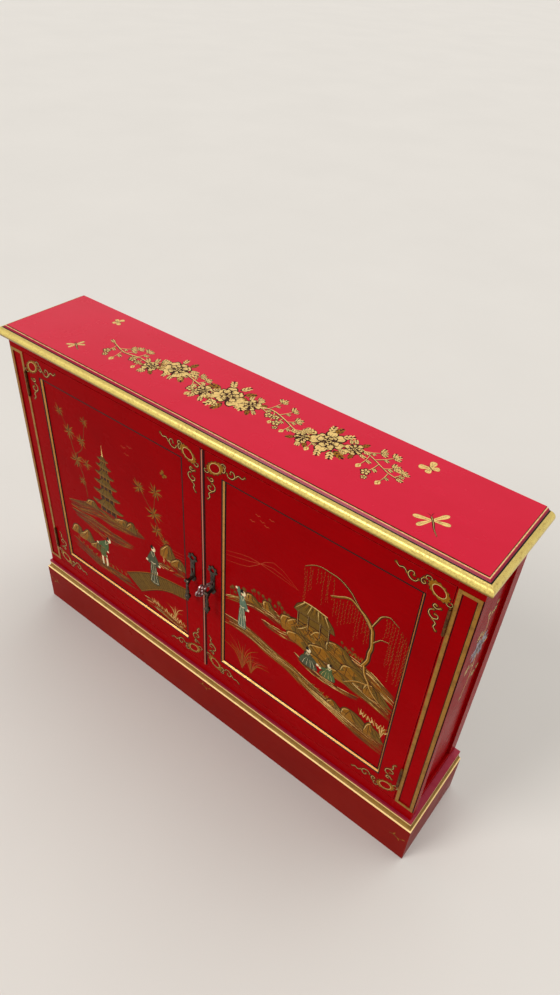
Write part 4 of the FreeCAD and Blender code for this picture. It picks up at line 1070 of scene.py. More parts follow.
def head(art, at, size, mirror):
    """A plain head under a coil of dark hair."""
    art.dab("ivory", at, size, 1.2, level=0.16)
    art.dab("black", (at[0] - mirror * size * 0.55, at[1] + size * 0.55), size * 0.85, 0.8, level=0.2)
    art.dab("black", (at[0] - mirror * size * 0.6, at[1] + size * 1.35), size * 0.42, level=0.2)


def robed_figure(art, foot, height, robe, trim, broad=1.0, bend=0.0, arm_up=False):
    """A standing figure in a long robe; one that bends from the waist has its skirt tucked up."""
    def local(points):
        return placed([(u * broad, v) for u, v in points], foot, 0.0, height)

    def upper(points):
        return local(placed([(u, v - 0.55) for u, v in points], (0.0, 0.55), -bend))

    for u in (-0.035, 0.05):
        art.stroke("ivory", local([(u, 0.35), (u * 1.2, 0.15), (u, 0.02)]), height * 0.06, ends=(1.0, 0.8))
        art.dab("umber", local([(u * 1.3, 0.0)])[0], height * 0.045, 0.6)
    skirt = [(u, max(v, 0.26)) if bend else (u, v) for u, v in SKIRT]
    clothe(art, local(skirt), robe)
    clothe(art, upper(BODICE), robe)
    raised = [(-u, 1.5 - v) for u, v in SLEEVE] if arm_up else [(-u, v) for u, v in SLEEVE]
    for sleeve in (SLEEVE, raised):
        clothe(art, upper(sleeve), robe)
        art.dab("ivory", upper([sleeve[2]])[0], height * 0.03, level=0.16)
    hem = skirt[0][1] + 0.03
    for k, u in enumerate((-0.05, -0.025, 0.0, 0.025, 0.05)):
        fold = local([(u * 0.5, 0.52), (u * 0.9, 0.38), (u * 0.7, 0.26), (u * 1.4, hem)])
        art.stroke("umber" if k % 2 else trim, fold, 1.5, 0.08, 0.14, ends=(0.4, 0.8))
    art.stroke(trim, local([(-0.07, hem), (0.0, hem - 0.02), (0.09, hem)]), 1.6, 0.08, 0.15, ends=(0.6, 0.6))
    art.stroke(trim, local([(-0.05, 0.55), (0.0, 0.53), (0.05, 0.55)]), 2.4, 0.1, 0.16, ends=BLUNT)
    art.stroke("ivory", upper([(-0.03, 0.82), (0.01, 0.7), (0.04, 0.82)]), 1.3, 0.1, 0.16, ends=BLUNT)
    head(art, upper([(0.02, 0.9)])[0], height * 0.055, 1)


def seated_figure(art, foot, height, robe, trim, mirror=1):
    """A figure seated on the ground in a spread robe, one arm held out."""
    def local(points):
        return placed(points, foot, 0.0, height, mirror)

    bodice = [(u * 2.6 - 0.06, v * 1.1 - 0.2) for u, v in BODICE]
    sleeve = [(0.04, 0.62), (0.20, 0.56), (0.36, 0.44), (0.33, 0.33), (0.09, 0.42)]
    for outline in (LAP, bodice, sleeve):
        clothe(art, local(outline), robe)
    for u in (-0.2, -0.06, 0.09, 0.23):
        art.stroke(trim, local([(u * 0.5, 0.4), (u, 0.2), (u * 1.2, 0.02)]), 1.2, 0.08, 0.14, ends=(0.4, 0.8))
    art.dab("ivory", local([(0.38, 0.38)])[0], height * 0.06, level=0.18)
    art.stroke("ivory", local([(-0.12, 0.7), (-0.06, 0.56), (0.02, 0.7)]), 1.4, 0.1, 0.16, ends=BLUNT)
    head(art, local([(-0.04, 0.82)])[0], height * 0.095, mirror)


# Scroll work

SCROLLS = (
    [(2, -4), (6, 2), (3, 8), (-2, 6), (0, 3)],
    [(10, 6), (14, 12), (22, 12), (28, 5), (25, -3), (19, -3), (18, 2)],
    [(30, 4), (36, -2), (44, 0), (50, -5)],
)
SLANT = math.radians(146)


def scroll_corner(art, corner, across, up, centre):
    """Rococo corner: a ragged ring set slantwise, with scrolls along each side of the frame."""
    def spot(point):
        return (corner[0] + across * point[0], corner[1] + up * point[1])

    def ring(wide, high, ragged=0.0):
        points = oval((0.0, 0.0), wide, high, count=28)
        points = [(u * (1 + ragged * (k % 2)), v * (1 + ragged * (k % 2))) for k, (u, v) in enumerate(points)]
        points = [spot(point) for point in placed(points, centre, SLANT)]
        return points if across * up > 0 else points[::-1]

    art.ribbon("umber", ring(11.4, 8.2), ring(21.6, 12.6, 0.20), 0.06, closed=True)
    art.ribbon("ochre", ring(12.6, 9.3), ring(19.8, 11.6, 0.18), 0.12, 0.04, closed=True)
    art.stroke("gold", ring(13.2, 9.8), 1.2, 0.06, 0.14, closed=True, steps=1)
    for end in (0.0, math.pi):
        tip = placed([(22.0, 0.0)], centre, SLANT + end)[0]
        curl = placed([(-3.0, -4.0), (3.0, -5.0), (7.0, -1.0), (5.0, 4.0), (1.0, 3.0)], tip, SLANT + end)
        for ink, width, level in (("umber", 5.0, 0.0), ("gold", 2.6, 0.04)):
            art.stroke(ink, [spot(point) for point in curl], width, 0.1, level, ends=(0.6, 0.5))
    for upright, start in ((False, 48.0), (True, 54.0)):
        for scroll in SCROLLS:
            line = [(18.0 + v, start + u) if upright else (start + u, 18.0 + v) for u, v in scroll]
            path = [spot(point) for point in line]
            art.stroke("umber", path, 5.6, 0.08, ends=(0.6, 0.5))
            art.stroke("ochre", path, 3.2, 0.1, 0.03, ends=(0.6, 0.5))
            art.stroke("gold", path, 1.2, 0.06, 0.11, ends=(0.6, 0.5))
            for tip in (path[0], path[-1]):
                art.dab("umber", tip, 3.6, rise=0.1)
                art.dab("ochre", tip, 2.4, rise=0.12, level=0.04)


def leaf_scroll(art, at, size, mirror=1):
    """A small scroll with three leaves."""
    stem = [(-1.0, 0.0), (-0.4, 0.25), (0.2, 0.05), (0.8, 0.3)]
    art.stroke("olive", placed(stem, at, 0.0, size, mirror), 2.4)
    for root, turn, reach in zip(stem[1:], (1.2, -1.0, 0.5), (0.6, 0.5, 0.5)):
        path = placed([(0.0, 0.0), (0.5, 0.08), (1.0, 0.0)], root, turn, reach)
        art.stroke("ochre", placed(path, at, 0.0, size, mirror), size * 0.2, ends=(0.5, 0.1))


def ruled_line(art, path, width):
    """A black line of even width."""
    art.stroke("black", path, width, 0.06, ends=EVEN)


def ruled_frame(art, across, up, gap, width):
    """A black line ruled round a rectangle, at a gap outside it."""
    left, right = across[0] - gap, across[1] + gap
    low, high = up[0] - gap, up[1] + gap
    for level in (low, high):
        ruled_line(art, [(left, level), (right, level)], width)
    for side in (left, right):
        ruled_line(art, [(side, low), (side, high)], width)


# Operators, one for each group of like pieces

LACQUERED = [
    "front_top_rail", "front_bottom_rail",
    *(f"{place}_post_{side}" for place in ("front", "rear") for side, _ in SIDES),
    *(f"side_{piece}_{side}" for piece in ("top_rail", "bottom_rail", "panel") for side, _ in SIDES),
    *(f"{side}_door_{piece}" for piece in ("hinge_stile", "meeting_stile", "top_rail", "bottom_rail", "panel")
      for side, _ in SIDES),
]
PLINTH = ["plinth_front", "plinth_left", "plinth_right"]
PLAIN_WOOD = [
    "rear_top_rail", "bottom_board", "back_panel", "shelf", "shelf_bearers", "plinth_back", "plinth_bearer",
]
TOP_MOULDING = ["top_moulding_front", "top_moulding_left", "top_moulding_right"]
BASE_MOULDING = ["base_moulding_front", "base_moulding_left", "base_moulding_right"]
HINGES = ["hinge_post_leaves", "hinge_pins", "left_hinge_leaves", "right_hinge_leaves"]
BOLT = ["bolt_plate", "door_bolt"]
PULLS = [f"{side}_pull_{piece}" for piece in ("plate", "pin", "drop") for side, _ in SIDES]
LOCK = ["lock_case", "lock_bolt", "lock_keep"]
FIRST_TOP_LINE = 9.0
LINE_OVERRUN = 0.5
SCREW_STAGGER = 2.5
SLOT_ANGLE = 0.14
END_SPRAY_SETBACK = 28


def plate_corners(node, aside, above):
    """A place in each corner of a plate that is seen from inside."""
    (left, right), (low, high) = span(node, "x"), span(node, "z")
    return [(-u, v) for u in (left + aside, right - aside) for v in (low + above, high - above)]


class LacquerWoodwork(bpy.types.Operator):
    """Lacquer the carcass, the doors and the plinth"""

    bl_idname = "cabinet.lacquer_woodwork"
    bl_label = "Lacquer Woodwork"

    def execute(self, context):
        finish = context.scene.cabinet_finishes
        red, _, _ = lacquer("front_lacquer", finish.front_red, finish.front_deep, gloss=0.26, shine=0.012)
        # The plinth's browner red is partly a painted reflection of a brown floor.
        brown, _, _ = lacquer("plinth_lacquer", finish.plinth_red, finish.plinth_deep, gloss=0.32, shine=0.02)
        wear(LACQUERED, red)
        wear(PLINTH, brown)
        wear(["astragal"], self.astragal_highlight_and_shade(finish))
        seen = [name for name in (*LACQUERED, *PLINTH, "astragal") if not name.startswith("rear")]
        soften(seen, finish.arris)
        return {"FINISHED"}

    def astragal_highlight_and_shade(self, finish):
        """Lacquer with a painted pale highlight along the crest and black painted shade in the quirk at each
        side.
        """
        material, tree, shader = lacquer(
            "astragal_lacquer", finish.astragal_red, finish.astragal_deep, gloss=0.2, shine=0.3
        )
        across = tree.axis("X")
        low, high = span("astragal", "x")
        # Black painted shade at each side, and a painted highlight along the crest.
        black, crest_highlight = finish.line_black, finish.astragal_crest_highlight
        for start, stop, shade in ((0.0, 0.2, black), (0.3, 0.7, crest_highlight), (0.8, 1.0, black)):
            limits = [low + (high - low) * share for share in (start, stop)]
            paint_line(tree, shader, across, limits, linear(shade))
        return material


class LacquerTop(bpy.types.Operator):
    """Lacquer the top board and rule its gilt and dark lines, the black one being painted shade in the quirk
    """

    bl_idname = "cabinet.lacquer_top"
    bl_label = "Lacquer Top"

    def execute(self, context):
        finish = context.scene.cabinet_finishes
        # The top's lighter, pinker red is partly fading and partly painted light and sheen.
        material, tree, shader = lacquer(
            "top_lacquer", finish.top_red, finish.top_deep, gloss=0.24, shine=0.15
        )
        from_end = tree.math("SUBTRACT", TOP_END * MM, tree.math("ABSOLUTE", tree.axis("X")))
        from_front = tree.math("SUBTRACT", tree.axis("Y"), TOP_FRONT * MM)
        inset = tree.math("MINIMUM", from_end, from_front)
        gilt = tree.group("Gold leaf", {
            "Vector": tree.place(), "Gold": linear(finish.arris_gold), "Shade": linear(finish.dull_gold),
            "Scale": 160.0, "Gloss": 0.3,
        })["Colour"]
        black, brown = linear(finish.line_black), linear(finish.line_brown)
        crimson, pink = linear(finish.ledge_red), linear(finish.strip_red)
        # The first line, black, is painted shade in the quirk behind the moulding's round.
        lines = ((3.0, black), (1.6, crimson), (0.5, brown), (1.1, pink), (1.6, gilt), (0.8, brown))
        start = FIRST_TOP_LINE
        for width, shade in lines:
            paint_line(tree, shader, inset, (start, start + width), shade)
            start += width
        wear(["top_board"], material)
        return {"FINISHED"}


class GildMouldings(bpy.types.Operator):
    """Gild the mouldings, the post bands and the door beads"""

    bl_idname = "cabinet.gild_mouldings"
    bl_label = "Gild Mouldings"

    def execute(self, context):
        finish = context.scene.cabinet_finishes
        band, _, _ = gilding("band_gilding", finish.dull_gold, finish.dull_shade, scale=70.0, gloss=0.36)
        wear(TOP_MOULDING, self.top_gilding(finish))
        wear(["left_door_bead", "right_door_bead"], self.bead_gilding(finish))
        wear(["post_bands"], band)
        wear(BASE_MOULDING, self.base_gilding(finish))
        return {"FINISHED"}

    def top_gilding(self, finish):
        """Bright leaf on the round's crest, with painted shade below it and a little painted shade above it.
        """
        material, tree, shader = gilding(
            "leaf_gilding", finish.leaf_gold, finish.leaf_shade, scale=260.0, gloss=0.26, metal=0.3
        )
        height = tree.axis("Z")
        low, high = span("top_moulding_front", "z")
        # Painted shade: the leaf's shade colour laid over the round below its crest, and lightly near its
        # top.
        for start, stop, thin, thick in ((0.34, 0.58, 1.0, 0.0), (0.80, 1.0, 0.0, 0.4)):
            limits = [(low + share * (high - low)) * MM for share in (start, stop)]
            overpaint(tree, shader, tree.spread(height, *limits, thin, thick), linear(finish.leaf_shade))
        return material

    def bead_gilding(self, finish):
        """Gold on the bead's slope between black lines of painted shade at its crest and its foot."""
        material, tree, shader = gilding(
            "bead_gilding", finish.bead_gold, finish.dull_gold, scale=120.0, gloss=0.22
        )
        depth = tree.axis("Y")
        crest, foot = span("right_door_bead", "y")
        # Black painted shade in the quirk at the crest and where the bead meets the panel.
        for limits in ((crest - 1.0, crest + 0.7), (foot - 1.5, foot + 1.0)):
            paint_line(tree, shader, depth, limits, linear(finish.line_black))
        return material

    def base_gilding(self, finish):
        """Gilding with painted shade in the olive hollow and the black groove, arrises worn bright with
        painted highlights, and painted sheen on the crimson ledge.
        """
        material, tree, shader = gilding(
            "base_gilding", finish.hollow_gold_and_shade, finish.dull_shade, scale=80.0, gloss=0.5, metal=0.2
        )
        height = tree.axis("Z")
        foot, ledge = span("base_moulding_front", "z")
        for low, high, shade in (
            # Arrises worn bright and painted as highlights, painted shade in the groove, painted sheen on the
            # crimson ledge.
            (foot - LINE_OVERRUN, foot + 2.7, finish.arris_gold),
            (foot + 12.3, foot + 16.7, finish.arris_gold),
            (foot + 16.7, foot + 17.7, finish.line_black),
            (foot + 17.7, ledge + LINE_OVERRUN, finish.ledge_red),
        ):
            paint_line(tree, shader, height, (low, high), linear(shade))
        return material


class StainWood(bpy.types.Operator):
    """Stain the plain wood inside, behind and below"""

    bl_idname = "cabinet.stain_wood"
    bl_label = "Stain Wood"

    def execute(self, context):
        finish = context.scene.cabinet_finishes
        material, tree, shader = new_material("stained_wood")
        inputs = {"Vector": tree.place(), "Wood": linear(finish.wood), "Grain": linear(finish.wood_dark)}
        dress(tree, shader, tree.group("Timber", inputs), strength=0.3, depth=0.0005)
        wear(PLAIN_WOOD, material)
        soften(PLAIN_WOOD, finish.arris)
        return {"FINISHED"}


class FinishMetalwork(bpy.types.Operator):
    """Finish the hinges, the bolt, the pulls, the lock and the key"""

    bl_idname = "cabinet.finish_metalwork"
    bl_label = "Finish Metalwork"

    def execute(self, context):
        finish = context.scene.cabinet_finishes
        # The hinges' red cast and the key's pink tint are partly painted reflections of the lacquer.
        wear(HINGES, metal("hinge_brass", finish.brass, dark_share=0.45, scale=140.0, gloss=0.36))
        wear(BOLT, metal("black_iron", finish.iron, dark_share=0.45, scale=120.0, gloss=0.42))
        wear(PULLS, metal("old_bronze", finish.bronze, dark_share=0.4, scale=160.0, gloss=0.28))
        wear(LOCK, metal("lock_steel", finish.steel, dark_share=0.7, scale=90.0, gloss=0.3))
        wear(["key"], metal("key_silver", finish.silver, dark_share=0.5, scale=200.0, gloss=0.34))
        return {"FINISHED"}


class FitScrews(bpy.types.Operator):
    """Fit the slotted screws of the hinges, the pulls, the lock and the bolt"""

    bl_idname = "cabinet.fit_screws"
    bl_label = "Fit Screws"

    def execute(self, context):
        for label, side in SIDES:
            self.hinge_screws(label, side)
            self.pull_screw(label)
        case = inside("right_door", span("lock_case", "y")[1])
        spots = plate_corners("lock_case", aside=4, above=4)
        self.heads("lock", case, spots, radius=2.2, rise=0.4, material="lock_steel", slot="lock_steel")
        plate = inside("left_door", span("left_door_hinge_stile", "y")[1] + BOLT_PLATE)
        spots = plate_corners("bolt_plate", aside=3, above=4)
        self.heads("bolt", plate, spots, radius=1.8, rise=0.4, material="black_iron", slot="dark_iron")
        return {"FINISHED"}

    def hinge_screws(self, label, side):
        """Three screws in each leaf of a door's two hinges, set in a zigzag."""
        low, high = span("hinge_post_leaves", "z")
        levels = []
        for share in (0.17, 0.5, 0.83):
            levels += [low + HINGE_HEIGHT * share, high - HINGE_HEIGHT * share]
        depth = FRAME_FACE + LEAF_DEPTH / 2
        outer = 1 if side > 0 else 0
        stile, post = span(f"{label}_door_hinge_stile", "x"), span(f"front_post_{label}", "x")
        joint = (stile[outer] + post[1 - outer]) / 2
        for body, way in ((f"{label}_door", side), ("cabinet", -side)):
            face = Face(body, (joint - way * LEAF_GAP / 2, 0, 0), (0, way, 0), (0, 0, 1))
            spots = [(way * (depth + SCREW_STAGGER * (-1) ** k), v) for k, v in enumerate(levels)]
            name = f"{label}_hinge_{body}"
            self.heads(name, face, spots, radius=2.2, rise=0.05, material="hinge_brass", slot="bronze")

    def pull_screw(self, label):
        """The screw in the middle of a pull plate."""
        plate = f"{label}_pull_plate"
        spot = (sum(span(plate, "x")) / 2, span(plate, "z")[1] - PULL_SCREW_DROP)
        face = front(f"{label}_door", FRAME_FACE - PULL_PLATE)
        name = f"{label}_pull"
        self.heads(name, face, [spot], radius=2.0, rise=0.4, material="old_bronze", slot="bronze")

    def heads(self, name, face, spots, radius, rise, material, slot):
        """Screw heads: two half discs with the slot between them, on a black bed that paints the shade in the
        slot and round the head.
        """
        art = Painting(face, seed=61)
        angles = [SLOT_ANGLE + (math.pi - 2 * SLOT_ANGLE) * k / 8 for k in range(9)]
        half = [(math.cos(a), math.sin(a)) for a in angles]
        for spot in spots:
            # Black bed: painted shade in the slot and round the head.
            art.dab("black", spot, radius * 1.08, rise=rise * 0.3)
            turn = art.chance.uniform(0.0, math.pi)
            for way in (turn, turn + math.pi):
                art.patch("metal", placed(half, spot, way, radius), rise, steps=1)
        art.lay(f"{name}_screw", slot, metal=bpy.data.materials[material])


class PaintTop(bpy.types.Operator):
    """Paint the flower spray and the insects on the top"""

    bl_idname = "cabinet.paint_top"
    bl_label = "Paint Top"

    def execute(self, context):
        art = Painting(Face("cabinet", (0, 0, TOP_FACE), (1, 0, 0), (0, 1, 0), relief=0.1), seed=11)
        stem = [
            (-322, 8), (-280, -6), (-240, 0), (-196, -4), (-160, 18), (-116, 12), (-70, 3), (-14, 15),
            (24, 15), (56, 30), (92, 22), (128, 8), (162, 10), (198, 17), (232, 38), (264, 32), (304, 14),
            (324, 10),
        ]
        blossoms = [
            (-202, -8, 20), (-158, 18, 29), (-72, -6, 21), (-26, 14, 34), (22, 16, 20), (148, 0, 18),
            (188, 20, 33), (232, 30, 19),
        ]
        flower_spray(art, stem, blossoms, step=13.0)
        dragonfly(art, (412, -34), length=44, turn=math.radians(-52))
        butterfly(art, (353, 70), width=34, turn=math.radians(150))
        butterfly(art, (-386, 72), width=26, turn=math.radians(20))
        dragonfly(art, (-374, -46), length=28, turn=math.radians(-30))
        art.lay("top_spray")
        return {"FINISHED"}


class PaintLeftDoor(bpy.types.Operator):
    """Paint the pagoda landscape on the left door"""

    bl_idname = "cabinet.paint_left_door"
    bl_label = "Paint Left Door"

    def execute(self, context):
        art = Painting(front("left_door", PANEL_FACE), seed=23)
        ground(art, [(-425, 396), (-380, 412), (-336, 430), (-278, 424), (-214, 432), (-176, 426)],
               [(-420, 380), (-370, 385), (-330, 395), (-270, 398), (-205, 412), (-172, 422)],
               strokes=110, inks=FAR_BANK_INKS)
        ground(art, [(-420, 372), (-350, 381), (-284, 376), (-207, 380)],
               [(-400, 352), (-340, 346), (-284, 342), (-215, 366)], strokes=60, inks=LOW_BANK_INKS)
        pagoda(art, (-284, 430), width=84, height=182, tiers=6)
        rocks = (
            (-340, 420, 44, 20), (-240, 420, 52, 22), (-216, 418, 34, 30), (-410, 296, 48, 28),
            (-376, 288, 60, 42), (-346, 284, 44, 28), (-106, 408, 48, 44), (-76, 400, 44, 30),
        )
        for u, v, wide, tall in rocks:
            rock(art, (u, v), wide, tall, lean=0.1)
        stalk(art, [(-352, 440), (-358, 500), (-376, 545), (-388, 600), (-408, 642)], 2.4)
        stalk(art, [(-376, 545), (-350, 570), (-340, 600), (-330, 644)], 1.8)
        stalk(art, [(-104, 440), (-122, 468), (-138, 512), (-130, 574)], 2.2)
        stalk(art, [(-137, 505), (-160, 538), (-178, 562)], 1.6)
        foliage = (
            (-410, 642, 18), (-330, 648, 16), (-386, 600, 23), (-348, 592, 19), (-373, 532, 26),
            (-340, 536, 19), (-362, 480, 16), (-178, 562, 24), (-130, 574, 24), (-139, 512, 28),
            (-135, 470, 22), (-112, 452, 16),
        )
        for u, v, size in foliage:
            star_leaves(art, (u, v), size, count=14)
        butterfly(art, (-106, 630), width=17, turn=0.8, field="ochre")
        for u, v in ((-214, 640), (-196, 648), (-206, 626)):
            bird(art, (u, v), width=15)
        plank_bridge(art, [(-200, 246), (-146, 288), (-102, 310), (-56, 320)],
                     [(-246, 276), (-174, 322), (-128, 338), (-56, 352)], planks=22)
        ground(art, [(-430, 278), (-360, 262), (-300, 254), (-244, 262)],
               [(-430, 250), (-360, 236), (-300, 232), (-210, 240)], strokes=70, inks=LOW_BANK_INKS)
        ground(art, [(-120, 408), (-96, 404), (-56, 398)], [(-150, 372), (-100, 372), (-56, 380)], strokes=40)
        ground(art, [(-190, 238), (-140, 240), (-90, 226), (-56, 224)],
               [(-180, 222), (-130, 218), (-90, 212), (-56, 210)], strokes=46)
        tufts(art, [(-425, 280), (-330, 258), (-240, 264)], step=15, height=13)
        tufts(art, [(-170, 236), (-110, 228), (-60, 224)], step=9, height=18, inks=BRIGHT_GRASS_INKS)
        tufts(art, [(-236, 430), (-190, 430)], step=8, height=12)
        reeds(art, (-92, 232), count=7, height=54, spread=0.6, inks=BRIGHT_GRASS_INKS)
        robed_figure(art, (-322, 248), height=108, robe="green", trim="ochre", broad=1.35, bend=0.45)
        robed_figure(art, (-152, 304), height=116, robe="slate", trim="ivory", broad=1.3)
        for shift in (0, 8, 16):
            far_line(art, [(-130 - shift, 452 - shift), (-92, 444 - shift), (-56, 448 - shift)])
        art.lay("left_scene")
        return {"FINISHED"}


class PaintRightDoor(bpy.types.Operator):
    """Paint the willow landscape on the right door"""

    bl_idname = "cabinet.paint_right_door"
    bl_label = "Paint Right Door"

    def execute(self, context):
        art = Painting(front("right_door", PANEL_FACE), seed=37)
        for rise in (0, 10, -14):
            far_line(art, [(56, 526 + rise), (112, 544 + rise), (168, 562 - rise), (226, 546)])
        ground(art, [(56, 416), (117, 446), (168, 458), (218, 448), (262, 462)],
               [(56, 404), (120, 428), (170, 432), (214, 426), (262, 440)], strokes=100)
        ground(art, [(148, 412), (202, 416), (260, 434)], [(150, 402), (205, 398), (262, 412)], strokes=40)
        brow = [
            (54, 358), (120, 360), (168, 343), (222, 338), (262, 324), (298, 316), (348, 301), (390, 296),
            (446, 284),
        ]
        foot = [(54, 330), (120, 336), (168, 320), (222, 314), (264, 296), (334, 280), (392, 264), (446, 258)]
        ground(art, brow, foot, strokes=190)
        ground(art, [(262, 446), (318, 466), (356, 464), (390, 458), (414, 446), (446, 430)],
               [(270, 420), (320, 420), (356, 414), (392, 418), (420, 414), (446, 408)], strokes=130)
        ground(art, [(196, 440), (236, 436), (290, 430), (340, 424), (400, 410), (446, 396)],
               [(214, 412), (250, 402), (300, 392), (350, 384), (400, 376), (446, 366)], strokes=150)
        rocks = (
            (230, 430, 70, 42), (286, 436, 100, 38), (344, 432, 92, 44), (258, 408, 96, 30),
            (318, 404, 112, 36), (376, 402, 92, 38), (414, 392, 64, 36), (300, 386, 90, 22),
            (356, 380, 104, 26), (130, 440, 44, 22), (168, 446, 38, 26), (386, 292, 74, 30),
            (424, 286, 46, 36), (338, 300, 48, 16),
        )
        for u, v, wide, tall in rocks:
            rock(art, (u, v), wide, tall, lean=-0.25)
        shrubs(art, [(60, 420), (117, 452), (168, 464), (214, 456)], step=9, height=17)
        shrubs(art, [(320, 468), (360, 468)], step=8, height=14)
        pavilion(art, (220, 462), width=88, height=66)
        for u, v, wide, tall in ((246, 444, 78, 30), (300, 442, 72, 34)):
            rock(art, (u, v), wide, tall, lean=-0.2)
        trunk(art, [(372, 456), (382, 496), (383, 532), (376, 560), (356, 584), (331, 597), (294, 580)], 7.0)
        trunk(art, [(376, 558), (344, 598), (316, 624), (282, 630), (256, 628), (234, 612)], 3.2)
        trunk(art, [(378, 566), (388, 596), (403, 608), (424, 598)], 3.2)
        trunk(art, [(384, 528), (396, 546), (413, 551)], 2.6)
        trunk(art, [(376, 462), (392, 418), (409, 398), (442, 378)], 6.5)
        trunk(art, [(392, 420), (369, 410), (342, 386)], 5.0)
        fronds = (
            (234, 612, 96), (246, 622, 62), (262, 628, 40), (276, 630, 84), (288, 628, 66), (300, 582, 44),
            (312, 588, 70), (326, 595, 62), (336, 594, 50), (348, 590, 84), (360, 576, 40), (366, 572, 60),
            (400, 606, 50), (412, 604, 110), (424, 598, 140), (433, 590, 130), (441, 580, 118),
            (416, 550, 50), (447, 568, 70),
        )
        for u, v, length in fronds:
            frond(art, (u, v), length)
            frond(art, (u + 6, v - 4), length * 0.8)
        tufts(art, [(330, 470), (372, 466)], step=7, height=14)
        tufts(art, [(380, 330), (446, 318)], step=8, height=20, inks=BRIGHT_GRASS_INKS)
        tufts(art, [(268, 322), (360, 300)], step=12, height=9)
        reeds(art, (104, 222), count=17, height=100, spread=0.75)
        reeds(art, (128, 226), count=13, height=76, spread=0.9)
        reeds(art, (436, 300), count=7, height=46, spread=0.4, inks=BRIGHT_GRASS_INKS)
        ground(art, [(230, 380), (270, 366), (330, 362), (380, 372)],
               [(236, 364), (280, 352), (330, 350), (376, 360)], strokes=56)
        robed_figure(art, (99, 352), height=108, robe="teal", trim="ivory", broad=1.1, arm_up=True)
        seated_figure(art, (264, 366), height=54, robe="slate", trim="ivory")
        seated_figure(art, (308, 366), height=46, robe="green", trim="gold", mirror=-1)
        for u, v in ((116, 643), (138, 653), (158, 668), (148, 648), (128, 662)):
            bird(art, (u, v), width=12)
        art.lay("right_scene")
        return {"FINISHED"}


class PaintFrames(bpy.types.Operator):
    """Paint the scroll corners of the door frames and rule the black lines of painted shade beside the beads
    and the astragal
    """

    bl_idname = "cabinet.paint_frames"
    bl_label = "Paint Door Frames"

    def execute(self, context):
        for label, side in SIDES:
            across, up = span(f"{label}_door_bead", "x"), span(f"{label}_door_bead", "z")
            low, high = span(f"{label}_door_hinge_stile", "z")
            outer = max(map(abs, span(f"{label}_door_hinge_stile", "x"))) * side
            art = Painting(front(f"{label}_door", FRAME_FACE), seed=41 + side)
            # Black painted shade in the quirk outside the bead.
            ruled_frame(art, across, up, gap=0.8, width=1.4)
            # Black painted shade beside the astragal, along the meeting edge.
            joint = span("astragal", "x")[1] + 1.4
            if side < 0:
                joint = span("left_door_meeting_stile", "x")[1] - 1.2
            ruled_line(art, [(joint, low), (joint, high)], width=1.8)
            for v, way in ((high, -1), (low, 1)):
                scroll_corner(art, (outer, v), -side, way, centre=(23.0, 25.0))
                scroll_corner(art, (side * 2.0, v), side, way, centre=(30.0, 27.0))
            art.lay(f"{label}_frame")
            art = Painting(front(f"{label}_door", PANEL_FACE), seed=43 + side)
            # Black painted shade where the bead meets the sunk panel.
            ruled_frame(art, across, up, gap=-BEAD_WIDTH - 1.0, width=2.0)
            art.lay(f"{label}_panel_line")
            self.post_lines(label, side)
        return {"FINISHED"}

    def post_lines(self, label, side):
        """A black line in the sunk panel of a post, and one of painted shadow along its outer arris, where
        the end steps back.
        """
        left, right = span(f"front_post_{label}", "x")
        low, high = span("post_bands", "z")
        band = span("post_bands", "x")[1]
        middle = (left + right) / 2
        reach = band - abs(middle) - BAND_WIDTH
        art = Painting(front("cabinet", FRAME_FACE + POST_SINK), seed=47)
        across, up = (middle - reach, middle + reach), (low + BAND_WIDTH, high - BAND_WIDTH)
        ruled_frame(art, across, up, gap=-1.0, width=2.0)
        art.lay(f"{label}_post_line")
        arris = (band + max(abs(left), abs(right))) / 2 * side
        art = Painting(front("cabinet", FRAME_FACE), seed=48)
        # Painted shadow along the arris where the end steps back.
        ruled_line(art, [(arris, low), (arris, high)], width=1.8)
        art.lay(f"{label}_post_arris")


class PaintEnds(bpy.types.Operator):
    """Paint a blossom spray on each end and small scrolls on the plinth"""

    bl_idname = "cabinet.paint_ends"
    bl_label = "Paint Ends and Plinth"

    def execute(self, context):
        for label, side in SIDES:
            art = Painting(Face("cabinet", (END_FACE * side, 0, 0), (0, side, 0), (0, 0, 1)), seed=53 + side)
            middle = END_SPRAY_SETBACK * side
            heart = (middle, 530)
            stem = [(middle + aside, v) for aside, v in ((-6, 400), (4, 450), (-2, 530), (6, 575), (-4, 610))]
            flower_spray(art, stem, blossoms=[], step=40.0)
            for turn in all_round(6):
                leaf(art, heart, 34.0, turn, width=0.4, field="silver")
            peony(art, heart, radius=24, turn=0.3, field="silver")
            art.lay(f"{label}_end_spray")
        art = Painting(front("cabinet", PLINTH_FACE), seed=59)
        for u, v, mirror in ((8, 86, 1), (524, 60, 1), (-524, 64, -1)):
            leaf_scroll(art, (u, v), size=16, mirror=mirror)
        art.lay("plinth_scroll")
        return {"FINISHED"}


WHITE = (1.0, 1.0, 1.0, 1.0)
FILM_WIDTH = 36.0
LAMP_DISTANCE = 4.0


